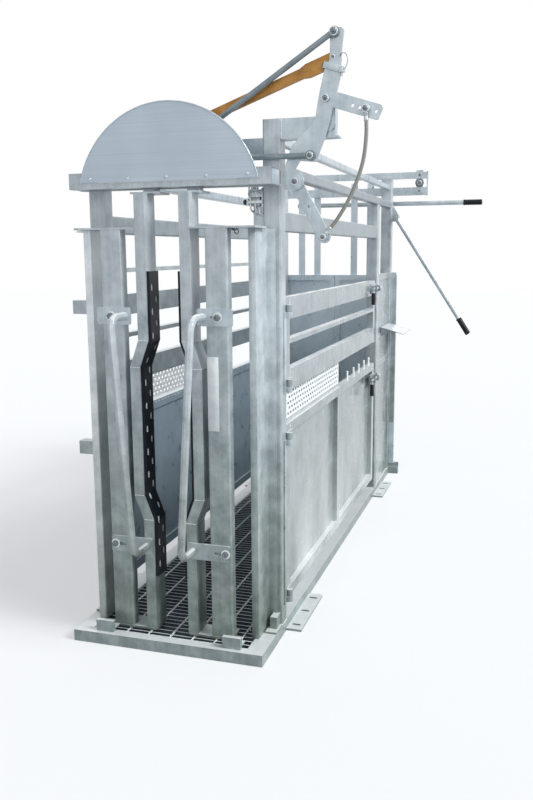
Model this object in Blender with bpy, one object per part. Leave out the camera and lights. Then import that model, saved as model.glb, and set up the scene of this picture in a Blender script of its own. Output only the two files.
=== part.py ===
"""Cattle crush: a galvanised steel crush with a sliding neck yoke, side gates and sliding rear doors.

Sizes are in metres. X runs across the front, Y runs from the front to the rear, and Z is up.
The origin lies on the ground below the centre of the base. Lengths along Y that end in _at
are counted from the front edge of the base.
"""
import math

import bmesh
import bpy
from mathutils import Vector
from mathutils.geometry import delaunay_2d_cdt

for old in list(bpy.data.objects):
    bpy.data.objects.remove(old, do_unlink=True)

# Overall
base_length = 3.2
base_width = 0.86
clear = 0.0003
sink = 0.002

# Base
rail_height = 0.05
front_member = 0.045
rear_member = 0.045
rear_stub_reach = 0.07
bearer_width = 0.05
bearer_height = 0.02
bearer_count = 4

# Floor grating
bar_pitch = 0.0343
bar_thickness = 0.005
bar_depth = 0.025
band_thickness = 0.005
rod_pitch = 0.1
rod_width = 0.007
rod_height = 0.004
rod_count = 7

# Ground anchor plates
anchor_reach = 0.068
anchor_thickness = 0.01
anchor_front_at = 0.356
anchor_front_length = 0.404
anchor_rear_at = 2.5
anchor_rear_length = 0.37
anchor_slot_length = 0.04
anchor_slot_width = 0.014

# Posts
post_width = 0.075
tube_corner = 0.007
main_post_at = 0.29
main_post_top = 2.18
left_post_top = 2.04
latch_post_at = 2.545
rear_post_at = 3.085
rear_post_top = 2.17

# Rails along the top of the sides
top_rail_low = 1.965
top_rail_height = 0.045
top_rail_width = 0.05
upper_rail_low = 1.745
upper_rail_height = 0.08
side_tube_width = 0.04
side_tube_inset = 0.005
tie_low = 2.09
tie_size = 0.035

# Yoke guide posts
guide_post_width = 0.037
guide_post_depth = 0.10
guide_post_at = 0.137
guide_post_top = 1.755
guide_post_inset = 0.05
guide_tie_reach = 0.03
guide_tie_thickness = 0.008

# Yoke header
header_low = 1.92
header_height = 0.065
header_at = 0.145
header_depth = 0.13
header_overhang = 0.007
header_wall = 0.005
header_lip = 0.04
spacer_width = 0.045

# Sign plate
sign_chord = 0.773
sign_rise = 0.305
sign_low = 1.945
sign_thickness = 0.003

# Yoke leaves, sizes for one leaf on the positive side
leaf_at = 0.085
column_in = 0.18
column_width = 0.095
column_depth = 0.05
neck_in = 0.074
neck_width = 0.044
neck_depth = 0.10
neck_bow = 0.04
bow_top = 1.31
bow_top_end = 1.20
bow_low_end = 0.655
bow_low = 0.55
leaf_low = 0.056
hanger_low = 1.895
hanger_thickness = 0.008
hanger_in = 0.03
hanger_out = 0.15
leaf_plate_thickness = 0.008
leaf_plate_lap = 0.01
leaf_plate_depth = 0.142
lug_width = 0.05
lug_thickness = 0.01
slider_height = 0.025
leaf_open = 0.07
leaf_close = 0.02

# Rubber strips on the neck bars
rubber_thickness = 0.012
rubber_margin = 0.007
rubber_top = 1.59
rubber_low = 0.30

# Pull bars on the leaves
strap_thickness = 0.008
strap_height = 0.07
strap_top_centre = 1.41
strap_low_centre = 0.435
strap_top_in = 0.145
strap_top_out = 0.295
strap_low_in = 0.08
strap_low_out = 0.27
pull_radius = 0.0165
pull_reach = 0.125
pull_bend = 0.05
pull_end_inset = 0.025

# Yoke mechanism
pivot_x = 0.616
pivot_z = 2.243
pivot_radius = 0.012
pin_radius = 0.008
pin_clear = 0.0004
plate_thickness = 0.01
upper_pin_x = 0.649
upper_pin_z = 2.48
lower_pin_x = 0.557
lower_pin_z = 2.032
trip_pin_x = 0.493
trip_pin_z = 1.936
trip_end_x = 0.611
trip_end_z = 1.72
trip_width = 0.05
trip_thickness = 0.008
trip_hole_share = 0.447
trip_hole_radius = 0.0065
left_lug_x = -0.085
left_lug_z = 2.02
right_lug_x = 0.115
link_radius = 0.011
eye_radius = 0.02
eye_thickness = 0.01
cable_radius = 0.008
cable_bolt_x = 0.774
cable_bolt_z = 2.195
cable_boss_radius = 0.014
arm_hole_radius = 0.0065
slot_play = 0.0015
slot_travel = 0.010

# Locking bar behind the mechanism
lock_pin_x = 0.646
lock_pin_z = 2.388
lock_end_x = 0.0
lock_end_z = 2.156
lock_head_height = 0.052
lock_head_length = 0.112
lock_bar_height = 0.037
lock_thickness = 0.022

# Side gates
gate_front_at = 0.3753
gate_stile = 0.065
gate_rear_at = 2.5
gate_rail_height = 0.095
gate_top_low = 1.38
gate_thin_low = 1.275
gate_thin_height = 0.02
gate_mid_low = 1.07
left_extra_low = 1.575
lower_gate_top = 0.93
lower_gate_low = 0.13
lower_gate_rail = 0.045
panel_thickness = 0.003
stiffener_at = 1.40
stiffener_width = 0.05
strip_low = 0.94
strip_length = 1.05
strip_thickness = 0.004
strip_rows = 3
strip_columns = 15
strip_slot_length = 0.046
strip_slot_height = 0.016
hinge_offset = 0.012
hinge_radius = 0.009
hinge_eye_radius = 0.014
hinge_eye_height = 0.03
hinge_strap_width = 0.03
hinge_strap_thickness = 0.004

# Gate latches
latch_upper_z = 1.425
latch_lower_z = 0.835
bolt_radius = 0.008
bolt_offset = 0.023
bolt_start_at = 2.30
bolt_end_at = 2.60
latch_plate_thickness = 0.006
latch_plate_length = 0.16
latch_plate_height = 0.06
latch_lug_thickness = 0.008
latch_stem = 0.10
grip_length = 0.075
grip_radius = 0.012
catch_thickness = 0.005
catch_above = 0.02
catch_length = 0.035

# Rear doors
door_out = 0.465
door_top = 1.49
door_low = 0.062
door_depth = 0.03
door_frame = 0.04
door_meeting_gap = 0.004
hanger_strap_width = 0.048
door_strap_inner = 0.115
door_strap_outer = 0.235
track_overhang = 0.24
track_plate_inset = 0.031
track_plate_width = 0.048
track_plate_rise = 0.012
track_low = 2.055
track_height = 0.055
track_depth = 0.0317
track_gap = 0.06
track_upper_height = 0.045
roller_radius = 0.02
strap_above_rail = 0.035
strap_plate_thickness = 0.008
guide_lip = 0.0035
guide_height = 0.03

# Hinge lugs outside the left main post
left_lug_high = 1.427
left_lug_low = 0.789
left_lug_reach = 0.108
left_lug_front = 0.012
left_lug_length = 0.05
left_lug_height = 0.06

# Rear levers
lever_radius = 0.016
lever_hub_radius = 0.023
lever_hub_length = 0.036
lever_pin_radius = 0.01
slide_bar_below = 0.055
slide_bar_reach = 0.62
slide_bar_tail = 0.012
slide_bar_gap = 0.004
slide_bar_pad = 0.018
lever_two_out = 0.035
lever_two_below = 0.102
lever_two_reach = 0.529
lever_two_drop = 0.818
lever_two_at = 3.065
bracket_inset = 0.036
bracket_thickness = 0.010
bracket_reach = 0.052
bracket_tip_half = 0.012
bracket_below = 0.026
bracket_above = 0.077
bracket_top_reach = 0.012
lever_collar_radius = 0.015
lever_grip_length = 0.13
lever_grip_radius = 0.0195

# Yoke bracket and front beam
toe_width = 0.05
toe_inset = 0.018
toe_low_drop = 0.138
toe_top_drop = 0.033
toe_flange = 0.014
arm_drop = 0.143
beam_rise = 0.065
beam_height = 0.06
beam_left = 0.30
beam_leg = 0.04

# Rear bay panels and the sloping wing
bay_panel_top = 1.49
bay_tube = 0.04
bay_middle_low = 0.885
bay_tube_width = 0.038
wing_low = 1.143
wing_thickness = 0.004
wing_reach = 0.155
wing_fall = 0.044
wing_near = 0.104
angle_at = 0.012
angle_leg = 0.042
angle_reach = 0.036
angle_thickness = 0.004
wing_foot_drop = 0.04
gusset_reach = 0.075
gusset_drop = 0.058
gusset_thickness = 0.004
angle_above_base = 0.35

# Values that follow others
front = -base_length / 2
rear = base_length / 2
half = base_width / 2
inner = half - post_width
floor_top = rail_height
guide_post_out = half - guide_post_inset
leaf_plate_out = guide_post_out + leaf_plate_lap
header_half = half + header_overhang
track_reach = half + track_overhang
track_upper_low = track_low + track_height + track_gap
strap_head = track_low + track_height + strap_above_rail
slide_bar_z = track_low - slide_bar_below
lever_two_z = slide_bar_z - lever_two_below


def at(distance):
    """Y of a point that lies this far behind the front edge of the base."""
    return front + distance


def material(name, red, green, blue, rough, metal):
    made = bpy.data.materials.new(name)
    made.use_nodes = True
    shader = made.node_tree.nodes["Principled BSDF"]
    shader.inputs["Base Color"].default_value = (red, green, blue, 1)
    shader.inputs["Roughness"].default_value = rough
    shader.inputs["Metallic"].default_value = metal
    return made


galvanised = ("galvanised", 0.55, 0.60, 0.61, 0.45, 0.8)
bright_sheet = ("bright_sheet", 0.62, 0.67, 0.70, 0.35, 0.85)
dark_sheet = ("panel_sheet", 0.40, 0.46, 0.49, 0.5, 0.7)
sign_paint = ("sign_aluminium", 0.60, 0.67, 0.73, 0.4, 0.4)
black_rubber = ("black_rubber", 0.012, 0.012, 0.013, 0.6, 0.0)
yellow_zinc = ("yellow_zinc", 0.56, 0.33, 0.09, 0.5, 0.3)
grey_hose = ("grey_hose", 0.20, 0.20, 0.19, 0.55, 0.2)


def rect(a0, a1, b0, b1):
    return [(a0, b0), (a1, b0), (a1, b1), (a0, b1)]


def circle(a, b, radius, sides=16):
    points = []
    for step in range(sides):
        turn = 2 * math.pi * step / sides
        points.append((a + radius * math.cos(turn), b + radius * math.sin(turn)))
    return points


def round_rect(a0, a1, b0, b1, radius, steps=2):
    centres = [(a1 - radius, b1 - radius), (a0 + radius, b1 - radius)]
    centres += [(a0 + radius, b0 + radius), (a1 - radius, b0 + radius)]
    points = []
    for corner, (a, b) in enumerate(centres):
        for step in range(steps + 1):
            turn = math.pi / 2 * (corner + step / steps)
            points.append((a + radius * math.cos(turn), b + radius * math.sin(turn)))
    return points


def bar_outline(a0, b0, a1, b1, radius0, radius1, steps=6):
    """Outline of a flat bar with round ends that runs from one point to another."""
    heading = math.atan2(b1 - b0, a1 - a0)
    points = []
    for step in range(steps + 1):
        turn = heading - math.pi / 2 + math.pi * step / steps
        points.append((a1 + radius1 * math.cos(turn), b1 + radius1 * math.sin(turn)))
    for step in range(steps + 1):
        turn = heading + math.pi / 2 + math.pi * step / steps
        points.append((a0 + radius0 * math.cos(turn), b0 + radius0 * math.sin(turn)))
    return points


def headed_outline(a0, b0, a1, b1, head_height, head_length, height, steps=6):
    """Outline of a flat bar whose first part is a wider head, with both ends round."""
    heading = math.atan2(b1 - b0, a1 - a0)
    along = (math.cos(heading), math.sin(heading))
    points = []
    for step in range(steps + 1):
        turn = heading - math.pi / 2 + math.pi * step / steps
        points.append((a1 + height / 2 * math.cos(turn), b1 + height / 2 * math.sin(turn)))
    taper = head_height / 2
    for reach, offset in ((head_length + taper, height / 2), (head_length, head_height / 2)):
        points.append((a0 + along[0] * reach - along[1] * offset, b0 + along[1] * reach + along[0] * offset))
    for step in range(steps + 1):
        turn = heading + math.pi / 2 + math.pi * step / steps
        points.append((a0 + head_height / 2 * math.cos(turn), b0 + head_height / 2 * math.sin(turn)))
    for reach, offset in ((head_length, head_height / 2), (head_length + taper, height / 2)):
        points.append((a0 + along[0] * reach + along[1] * offset, b0 + along[1] * reach - along[0] * offset))
    return points


def encloses(loop, a, b):
    """Whether a closed loop goes round a point."""
    inside = False
    for (a0, b0), (a1, b1) in zip(loop, loop[1:] + loop[:1]):
        if (b0 > b) != (b1 > b) and a < a0 + (b - b0) / (b1 - b0) * (a1 - a0):
            inside = not inside
    return inside


def flat_fill(loops):
    """Triangles that fill an outline but not its holes, as numbers of the loops' points in a row."""
    points = [Vector((a, b)) for loop in loops for a, b in loop]
    edges = []
    start = 0
    for loop in loops:
        edges += [(start + i, start + (i + 1) % len(loop)) for i in range(len(loop))]
        start += len(loop)
    filled = delaunay_2d_cdt(points, edges, [], 0, 0.0000001)
    kept = []
    for face in filled[2]:
        face = [filled[3][i][0] for i in face]
        a = sum(points[i].x for i in face) / len(face)
        b = sum(points[i].y for i in face) / len(face)
        if sum(encloses(loop, a, b) for loop in loops) == 1:
            kept.append(face)
    return kept


def prism(outline, axis, low, high, holes=()):
    """A closed solid with this outline, and holes through it, between two planes of one axis."""
    made = bmesh.new()
    place = {"x": lambda a, b, c: (c, a, b), "y": lambda a, b, c: (a, c, b), "z": lambda a, b, c: (a, b, c)}
    loops = [outline] + list(holes)
    rings = []
    for level in (low, high):
        rings.append([made.verts.new(place[axis](a, b, level)) for loop in loops for a, b in loop])
    start = 0
    for loop in loops:
        for i in range(len(loop)):
            j = start + (i + 1) % len(loop)
            i = start + i
            made.faces.new((rings[0][i], rings[0][j], rings[1][j], rings[1][i]))
        start += len(loop)
    for face in flat_fill(loops):
        for ring in rings:
            made.faces.new([ring[i] for i in face])
    bmesh.ops.recalc_face_normals(made, faces=made.faces)
    return made


def box(x0, x1, y0, y1, z0, z1):
    return prism(rect(x0, x1, y0, y1), "z", z0, z1)


def rod(start, end, radius, sides=14, bore=0.0):
    """A round bar between two points, or a tube with a bore open at both ends."""
    start = Vector(start)
    end = Vector(end)
    holes = [circle(0, 0, bore, sides)] if bore else []
    made = prism(circle(0, 0, radius, sides), "z", 0, (end - start).length, holes)
    turn = Vector((0, 0, 1)).rotation_difference(end - start)
    bmesh.ops.rotate(made, verts=made.verts, cent=(0, 0, 0), matrix=turn.to_matrix())
    bmesh.ops.translate(made, verts=made.verts, vec=start)
    return made


def ranged(low, high):
    return (min(low, high), max(low, high))


def side_box(side, x0, x1, y0, y1, z0, z1):
    """A box given for the positive side, set on the side asked for."""
    a, b = ranged(side * x0, side * x1)
    return box(a, b, y0, y1, z0, z1)


def flip(points, side):
    return [(side * a, b) for a, b in points]


bodies = {}


def body(name, origin):
    """An empty on the joint axis of a moving body, which carries the pieces of that body."""
    empty = bpy.data.objects.new(name, None)
    empty.location = origin
    bpy.context.collection.objects.link(empty)
    bodies[name] = empty
    return empty


def finish(name, mesh_data, look, carrier=None, smooth=False):
    data = bpy.data.meshes.new(name)
    origin = Vector((0, 0, 0))
    if carrier:
        origin = Vector(bodies[carrier].location)
    bmesh.ops.translate(mesh_data, verts=mesh_data.verts, vec=-origin)
    mesh_data.to_mesh(data)
    mesh_data.free()
    if smooth:
        data.shade_smooth()
        data.set_sharp_from_angle(angle=math.radians(35))
    made = bpy.data.objects.new(name, data)
    bpy.context.collection.objects.link(made)
    made.data.materials.append(material(name + "_" + look[0], *look[1:]))
    if carrier:
        made.parent = bodies[carrier]
    return made


def union(pieces):
    """One closed solid from pieces that run into each other."""
    holders = []
    for piece in pieces:
        data = bpy.data.meshes.new("piece")
        piece.to_mesh(data)
        piece.free()
        holder = bpy.data.objects.new("piece", data)
        bpy.context.collection.objects.link(holder)
        holders.append(holder)
    for other in holders[1:]:
        join = holders[0].modifiers.new("join", "BOOLEAN")
        join.operation = "UNION"
        join.solver = "EXACT"
        join.object = other
    bpy.context.view_layer.update()
    ready = holders[0].evaluated_get(bpy.context.evaluated_depsgraph_get())
    result = bmesh.new()
    result.from_mesh(ready.to_mesh())
    ready.to_mesh_clear()
    for holder in holders:
        bpy.data.objects.remove(holder, do_unlink=True)
    bmesh.ops.remove_doubles(result, verts=result.verts, dist=0.000001)
    return result


def weld(name, pieces):
    """Add pieces that run into a node made earlier, and keep them as one solid with it."""
    holder = bpy.data.objects[name]
    start = bmesh.new()
    start.from_mesh(holder.data)
    if holder.parent:
        for piece in pieces:
            bmesh.ops.translate(piece, verts=piece.verts, vec=-Vector(holder.parent.location))
    joined = union([start] + pieces)
    joined.to_mesh(holder.data)
    joined.free()


def tube_curve(name, points, radius, look, carrier=None, resolution=2):
    """A round bar along a path, as a curve with a round bevel and closed ends."""
    origin = Vector((0, 0, 0))
    if carrier:
        origin = Vector(bodies[carrier].location)
    data = bpy.data.curves.new(name, "CURVE")
    data.dimensions = "3D"
    data.bevel_depth = radius
    data.bevel_resolution = resolution
    data.use_fill_caps = True
    line = data.splines.new("POLY")
    line.points.add(len(points) - 1)
    for slot_point, point in zip(line.points, points):
        spot = Vector(point) - origin
        slot_point.co = (spot.x, spot.y, spot.z, 1)
    made = bpy.data.objects.new(name, data)
    bpy.context.collection.objects.link(made)
    data.materials.append(material(name + "_" + look[0], *look[1:]))
    if carrier:
        made.parent = bodies[carrier]
    return made


def rounded_path(corners, radius, steps=6):
    """A path through corners, each turned with an arc of one radius."""
    path = [Vector(corners[0])]
    for before, corner, after in zip(corners, corners[1:], corners[2:]):
        corner = Vector(corner)
        back = (Vector(before) - corner).normalized()
        ahead = (Vector(after) - corner).normalized()
        angle = back.angle(ahead)
        reach = radius / math.tan(angle / 2)
        centre = corner + (back + ahead).normalized() * (radius / math.sin(angle / 2))
        first = corner + back * reach - centre
        last = corner + ahead * reach - centre
        for step in range(steps + 1):
            part = step / steps
            spot = first.lerp(last, part).normalized() * radius
            path.append(centre + spot)
    path.append(Vector(corners[-1]))
    return path


def smooth_path(points, count):
    """Points at even steps on a smooth curve through the route's own points."""
    ends = [2 * Vector(points[0]) - Vector(points[1])]
    ends += [Vector(point) for point in points]
    ends += [2 * Vector(points[-1]) - Vector(points[-2])]
    path = []
    spans = len(points) - 1
    for step in range(count + 1):
        place = step / count * spans
        span = min(int(place), spans - 1)
        part = place - span
        a, b, c, d = ends[span:span + 4]
        spot = 2 * b + (c - a) * part + (2 * a - 5 * b + 4 * c - d) * part ** 2
        spot += (3 * b - a - 3 * c + d) * part ** 3
        path.append(spot / 2)
    return path


# Base frame: side rails and end members in one ring, with bearers below the grating
ring_outline = [(-half, front), (half, front), (half, rear - rear_member)]
ring_outline += [(half + rear_stub_reach, rear - rear_member), (half + rear_stub_reach, rear)]
ring_outline += [(-half - rear_stub_reach, rear), (-half - rear_stub_reach, rear - rear_member)]
ring_outline += [(-half, rear - rear_member)]
well_front = front + front_member
well_rear = rear - rear_member
well = rect(-inner, inner, well_front, well_rear)
base_pieces = [prism(ring_outline, "z", 0, rail_height, [well])]
well_length = well_rear - well_front
for index in range(bearer_count + 1):
    centre = well_front + well_length * index / bearer_count
    low_y = max(centre - bearer_width / 2, well_front - sink)
    high_y = min(centre + bearer_width / 2, well_rear + sink)
    base_pieces.append(box(-inner - sink, inner + sink, low_y, high_y, 0.0, bearer_height))
finish("base_frame", union(base_pieces), galvanised)

# Floor grating: cross bars held by two edge bands, with long rods laid over the bars
grate_x = inner - clear
grate_front = well_front + clear
grate_rear = well_rear - clear
bar_count = int((grate_rear - grate_front - bar_thickness) / bar_pitch)
bar_step = (grate_rear - grate_front - bar_thickness) / bar_count
bar_gaps = []
for index in range(bar_count):
    gap_front = grate_front + index * bar_step + bar_thickness
    gap_rear = grate_front + (index + 1) * bar_step
    bar_gaps.append(rect(-grate_x + band_thickness, grate_x - band_thickness, gap_front, gap_rear))
grate_low = bearer_height + clear
grate_top = grate_low + bar_depth
grate_outline = rect(-grate_x, grate_x, grate_front, grate_rear)
finish("floor_grating", prism(grate_outline, "z", grate_low, grate_top, bar_gaps), galvanised)
rod_half = rod_pitch * (rod_count - 1) / 2
rod_gaps = []
for index in range(rod_count - 1):
    left_rod = -rod_half + index * rod_pitch + rod_width / 2
    right_rod = -rod_half + (index + 1) * rod_pitch - rod_width / 2
    rod_gaps.append(rect(left_rod, right_rod, grate_front + rod_width, grate_rear - rod_width))
rod_outline = rect(-rod_half - rod_width / 2, rod_half + rod_width / 2, grate_front, grate_rear)
rod_low = grate_top + clear
finish("grating_rods", prism(rod_outline, "z", rod_low, rod_low + rod_height, rod_gaps), galvanised)

# Ground anchor plates outside both rails
sides = {"right": 1, "left": -1}
base_extras = []
for side_name, side in sides.items():
    for end_name, start_at, length in (("front", anchor_front_at, anchor_front_length),
                                       ("rear", anchor_rear_at, anchor_rear_length)):
        x_in = half - sink
        x_out = half + anchor_reach
        outline = flip(rect(x_in, x_out, at(start_at), at(start_at + length)), side)
        slots = []
        middle = (x_in + x_out) / 2
        for share in (0.12, 0.5, 0.88):
            y = at(start_at + length * share)
            slot = round_rect(middle - anchor_slot_length / 2, middle + anchor_slot_length / 2,
                              y - anchor_slot_width / 2, y + anchor_slot_width / 2,
                              anchor_slot_width / 2 - 0.0005, 3)
            slots.append(flip(slot, side))
        base_extras.append(prism(outline, "z", 0.0, anchor_thickness, slots))

# Posts
post_low = floor_top + clear


def post(name, side, start_at, top, look=galvanised, x_out=half, width=post_width, depth=post_width):
    a, b = ranged(side * (x_out - width), side * x_out)
    outline = round_rect(a, b, at(start_at), at(start_at + depth), tube_corner)
    return finish(name, prism(outline, "z", post_low, top), look)


ties = []
post("main_post_right", 1, main_post_at, main_post_top)
post("main_post_left", -1, main_post_at, left_post_top)
for side_name, side in sides.items():
    post("latch_post_" + side_name, side, latch_post_at, top_rail_low - clear)
    post("rear_post_" + side_name, side, rear_post_at, rear_post_top)
    post("guide_post_" + side_name, side, guide_post_at, guide_post_top, bright_sheet,
         guide_post_out, guide_post_width, guide_post_depth)
    tie_rear = at(main_post_at) - clear
    tie = side_box(side, guide_post_out - guide_post_width + sink, guide_post_out + guide_tie_reach,
                   at(guide_post_at) + sink, tie_rear, guide_post_top - guide_tie_thickness, guide_post_top)
    ties.append(("guide_post_" + side_name, tie))

for name, tie in ties:
    weld(name, [tie])

# Rails and tie along the top
rail_front = at(main_post_at + post_width) + clear
for side_name, side in sides.items():
    rail_rear = at(rear_post_at) - clear
    a, b = ranged(side * (half - top_rail_width), side * half)
    outline = round_rect(a, b, top_rail_low, top_rail_low + top_rail_height, tube_corner)
    finish("top_rail_" + side_name, prism(outline, "y", rail_front, rail_rear), bright_sheet)
    a, b = ranged(side * (half - side_tube_inset - side_tube_width), side * (half - side_tube_inset))
    outline = round_rect(a, b, upper_rail_low, upper_rail_low + upper_rail_height, tube_corner)
    upper = prism(outline, "y", rail_front, at(latch_post_at) - clear)
    finish("upper_rail_" + side_name, upper, galvanised)
outline = round_rect(half - 0.05, half - 0.05 + tie_size, tie_low, tie_low + tie_size, tube_corner)
finish("tie_tube", prism(outline, "y", rail_front, at(rear_post_at) - clear), galvanised)

# Header track: a channel open below, with two slots above for the leaf lugs
header_top = header_low + header_height
header_front = at(header_at)
header_rear = at(header_at + header_depth)
lug_front = header_rear - 0.034
lug_rear = lug_front + lug_thickness
slot_front = lug_front - 0.006
slot_rear = lug_rear + 0.006


def lug_slot(centre, side):
    reach_out = centre * side + lug_width / 2 + leaf_open + 0.006
    reach_in = centre * side - lug_width / 2 - leaf_close - 0.006
    a, b = ranged(side * reach_in, side * reach_out)
    return rect(a, b, slot_front, slot_rear)


header_outline = rect(-header_half, header_half, header_front, header_rear)
web_slots = [lug_slot(left_lug_x, -1), lug_slot(right_lug_x, 1)]
web = prism(header_outline, "z", header_top - header_wall, header_top, web_slots)
walls = [web]
wall_high = header_top - header_wall / 2
for low_y, high_y in ((header_front, header_front + header_wall), (header_rear - header_wall, header_rear)):
    walls.append(box(-header_half, header_half, low_y, high_y, header_low, wall_high))
lip_high = header_low + header_wall
walls.append(box(-header_half, header_half, header_front + sink, header_front + header_lip,
                 header_low, lip_high))
walls.append(box(-header_half, header_half, header_rear - header_lip, header_rear - sink,
                 header_low, lip_high))
for side in (1, -1):
    walls.append(side_box(side, inner, inner + spacer_width, header_rear - sink, at(main_post_at) - clear,
                          header_low, header_top))
finish("header_track", union(walls), galvanised)

# Sign plate: a segment of a circle on the front of the header
sign_radius = (sign_chord ** 2 / 4 + sign_rise ** 2) / (2 * sign_rise)
sign_centre = sign_low + sign_rise - sign_radius
sign_start = math.asin((sign_low - sign_centre) / sign_radius)
sign_outline = []
for step in range(33):
    turn = sign_start + (math.pi - 2 * sign_start) * step / 32
    sign_outline.append((sign_radius * math.cos(turn), sign_centre + sign_radius * math.sin(turn)))
sign_rear = header_front - clear
finish("sign_plate", prism(sign_outline, "y", sign_rear - sign_thickness, sign_rear), sign_paint)

# Leaves of the neck yoke
leaf_front = at(leaf_at)
leaf_depth_rear = at(leaf_at + neck_depth)
plate_low = guide_post_top + clear
slider_low = lip_high + clear
slider_top = slider_low + slider_height
lug_pins = {"right": (right_lug_x, lower_pin_z), "left": (-left_lug_x, left_lug_z)}
plane_rear = at(main_post_at) - clear
rocker_rear = at(main_post_at) - 0.0033
rocker_front = rocker_rear - plate_thickness
eye_rear = rocker_front - clear
eye_front = eye_rear - eye_thickness
link_y = eye_rear - link_radius


def bowed(offset, low, high):
    """Points down one face of a neck bar, which bows outward at the height of the neck."""
    line = [(neck_in + offset, high), (neck_in + offset, bow_top)]
    line += [(neck_in + neck_bow + offset, bow_top_end), (neck_in + neck_bow + offset, bow_low_end)]
    line += [(neck_in + offset, bow_low), (neck_in + offset, low)]
    return line


for side_name, side in sides.items():
    carrier = "leaf_" + side_name + "_slide"
    body(carrier, (side * (neck_in + neck_width / 2), at(leaf_at + neck_depth / 2), hanger_low))
    neck_outline = bowed(0, leaf_low, hanger_low + sink)
    neck_outline += bowed(neck_width, leaf_low, hanger_low + sink)[::-1]
    pieces = [prism(flip(neck_outline, side), "y", leaf_front, leaf_depth_rear)]
    a, b = ranged(side * column_in, side * (column_in + column_width))
    column = round_rect(a, b, leaf_front, leaf_front + column_depth, tube_corner)
    pieces.append(prism(column, "z", leaf_low, plate_low + leaf_plate_thickness / 2))
    pieces.append(side_box(side, neck_in + neck_width - 0.01, leaf_plate_out, leaf_front - 0.001,
                           leaf_front + leaf_plate_depth, plate_low, plate_low + leaf_plate_thickness))
    pieces.append(side_box(side, neck_in + 0.004, column_in + column_width - 0.004, leaf_front - 0.001,
                           leaf_depth_rear + 0.001, leaf_low - 0.002, leaf_low + 0.008))
    pieces.append(side_box(side, hanger_in, hanger_out, leaf_front + 0.035, header_rear - header_lip + 0.005,
                           hanger_low, hanger_low + hanger_thickness))
    pieces.append(side_box(side, neck_in - 0.005, neck_in + neck_width + 0.005,
                           header_front + header_lip + 0.003, header_rear - header_lip - 0.003,
                           hanger_low + 0.004, slider_low + 0.004))
    pieces.append(side_box(side, neck_in - 0.03, neck_in + neck_width + 0.03,
                           header_front + header_wall + 0.003, header_rear - header_wall - 0.003,
                           slider_low, slider_top))
    lug_x, lug_z = lug_pins[side_name]
    lug_low = slider_top - 0.012
    lug_outline = [(side * lug_x + lug_width / 2, lug_low)]
    for step in range(9):
        turn = math.pi * step / 8
        lug_outline.append((side * lug_x + lug_width / 2 * math.cos(turn),
                            lug_z + lug_width / 2 * math.sin(turn)))
    lug_outline.append((side * lug_x - lug_width / 2, lug_low))
    pieces.append(prism(lug_outline, "y", lug_front, lug_rear))
    pieces.append(rod((side * lug_x, lug_front + 0.002, lug_z), (side * lug_x, eye_rear - clear, lug_z),
                      pin_radius))
    finish("leaf_" + side_name, union(pieces), galvanised, carrier)

    face = -clear
    back = -clear - rubber_thickness
    rubber = bowed(face, rubber_low, rubber_top) + bowed(back, rubber_low, rubber_top)[::-1]
    rubber_solid = prism(flip(rubber, side), "y", leaf_front + rubber_margin, leaf_depth_rear - rubber_margin)
    finish("rubber_strip_" + side_name, rubber_solid, black_rubber, carrier)

    strap_rear = leaf_front - clear
    strap_front = strap_rear - strap_thickness
    for level, centre, x_in, x_out in (("top", strap_top_centre, strap_top_in, strap_top_out),
                                       ("low", strap_low_centre, strap_low_in, strap_low_out)):
        a, b = ranged(side * x_in, side * x_out)
        outline = round_rect(a, b, centre - strap_height / 2, centre + strap_height / 2, 0.008)
        middle = side * (column_in + column_width / 2)
        slot = round_rect(middle - 0.025, middle + 0.025, centre - 0.007, centre + 0.007, 0.0065, 3)
        strap = prism(outline, "y", strap_front, strap_rear, [slot])
        finish("pull_strap_" + level + "_" + side_name, strap, bright_sheet, carrier)
    bar_top = (side * (strap_top_in + pull_end_inset), strap_front - clear, strap_top_centre)
    bar_low = (side * (strap_low_in + pull_end_inset), strap_front - clear, strap_low_centre)
    out_top = (bar_top[0], bar_top[1] - pull_reach, bar_top[2])
    out_low = (bar_low[0], bar_low[1] - pull_reach, bar_low[2])
    path = rounded_path([bar_top, out_top, out_low, bar_low], pull_bend)
    tube_curve("pull_bar_" + side_name, path, pull_radius, bright_sheet, carrier)

# Floor stops in front of the leaves, and cleats at the feet of the main posts
for side_name, side in sides.items():
    stop_rear = at(leaf_at) - 0.002 - clear
    base_extras.append(side_box(side, 0.25, 0.33, at(0.02), at(front_member) - 0.005,
                                floor_top - sink, floor_top + 0.05))
    base_extras.append(side_box(side, 0.25, 0.33, at(0.02), stop_rear, floor_top + 0.008, floor_top + 0.014))
    foot = side_box(side, guide_post_out + clear, half, at(0.2), at(main_post_at) + sink,
                    post_low, post_low + 0.008)
    rib = side_box(side, guide_post_out + 0.012, half - 0.008, at(0.235), at(main_post_at) + sink,
                   post_low + 0.001, post_low + 0.06)
    weld("main_post_" + side_name, [foot, rib])

# Beam behind the sign that ties the right post to the header
beam_front = at(main_post_at) + 0.01
beam_rear = at(main_post_at + post_width) - 0.01
beam_low = header_top + beam_rise
beam_high = beam_low + beam_height
beam = box(-beam_left, inner - clear, beam_front, beam_rear, beam_low, beam_high)
leg = box(-beam_left, beam_leg - beam_left, header_rear - 0.03, beam_front + sink,
          header_top + clear, beam_high - 0.01)
finish("front_beam", union([beam, leg]), galvanised)

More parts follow.
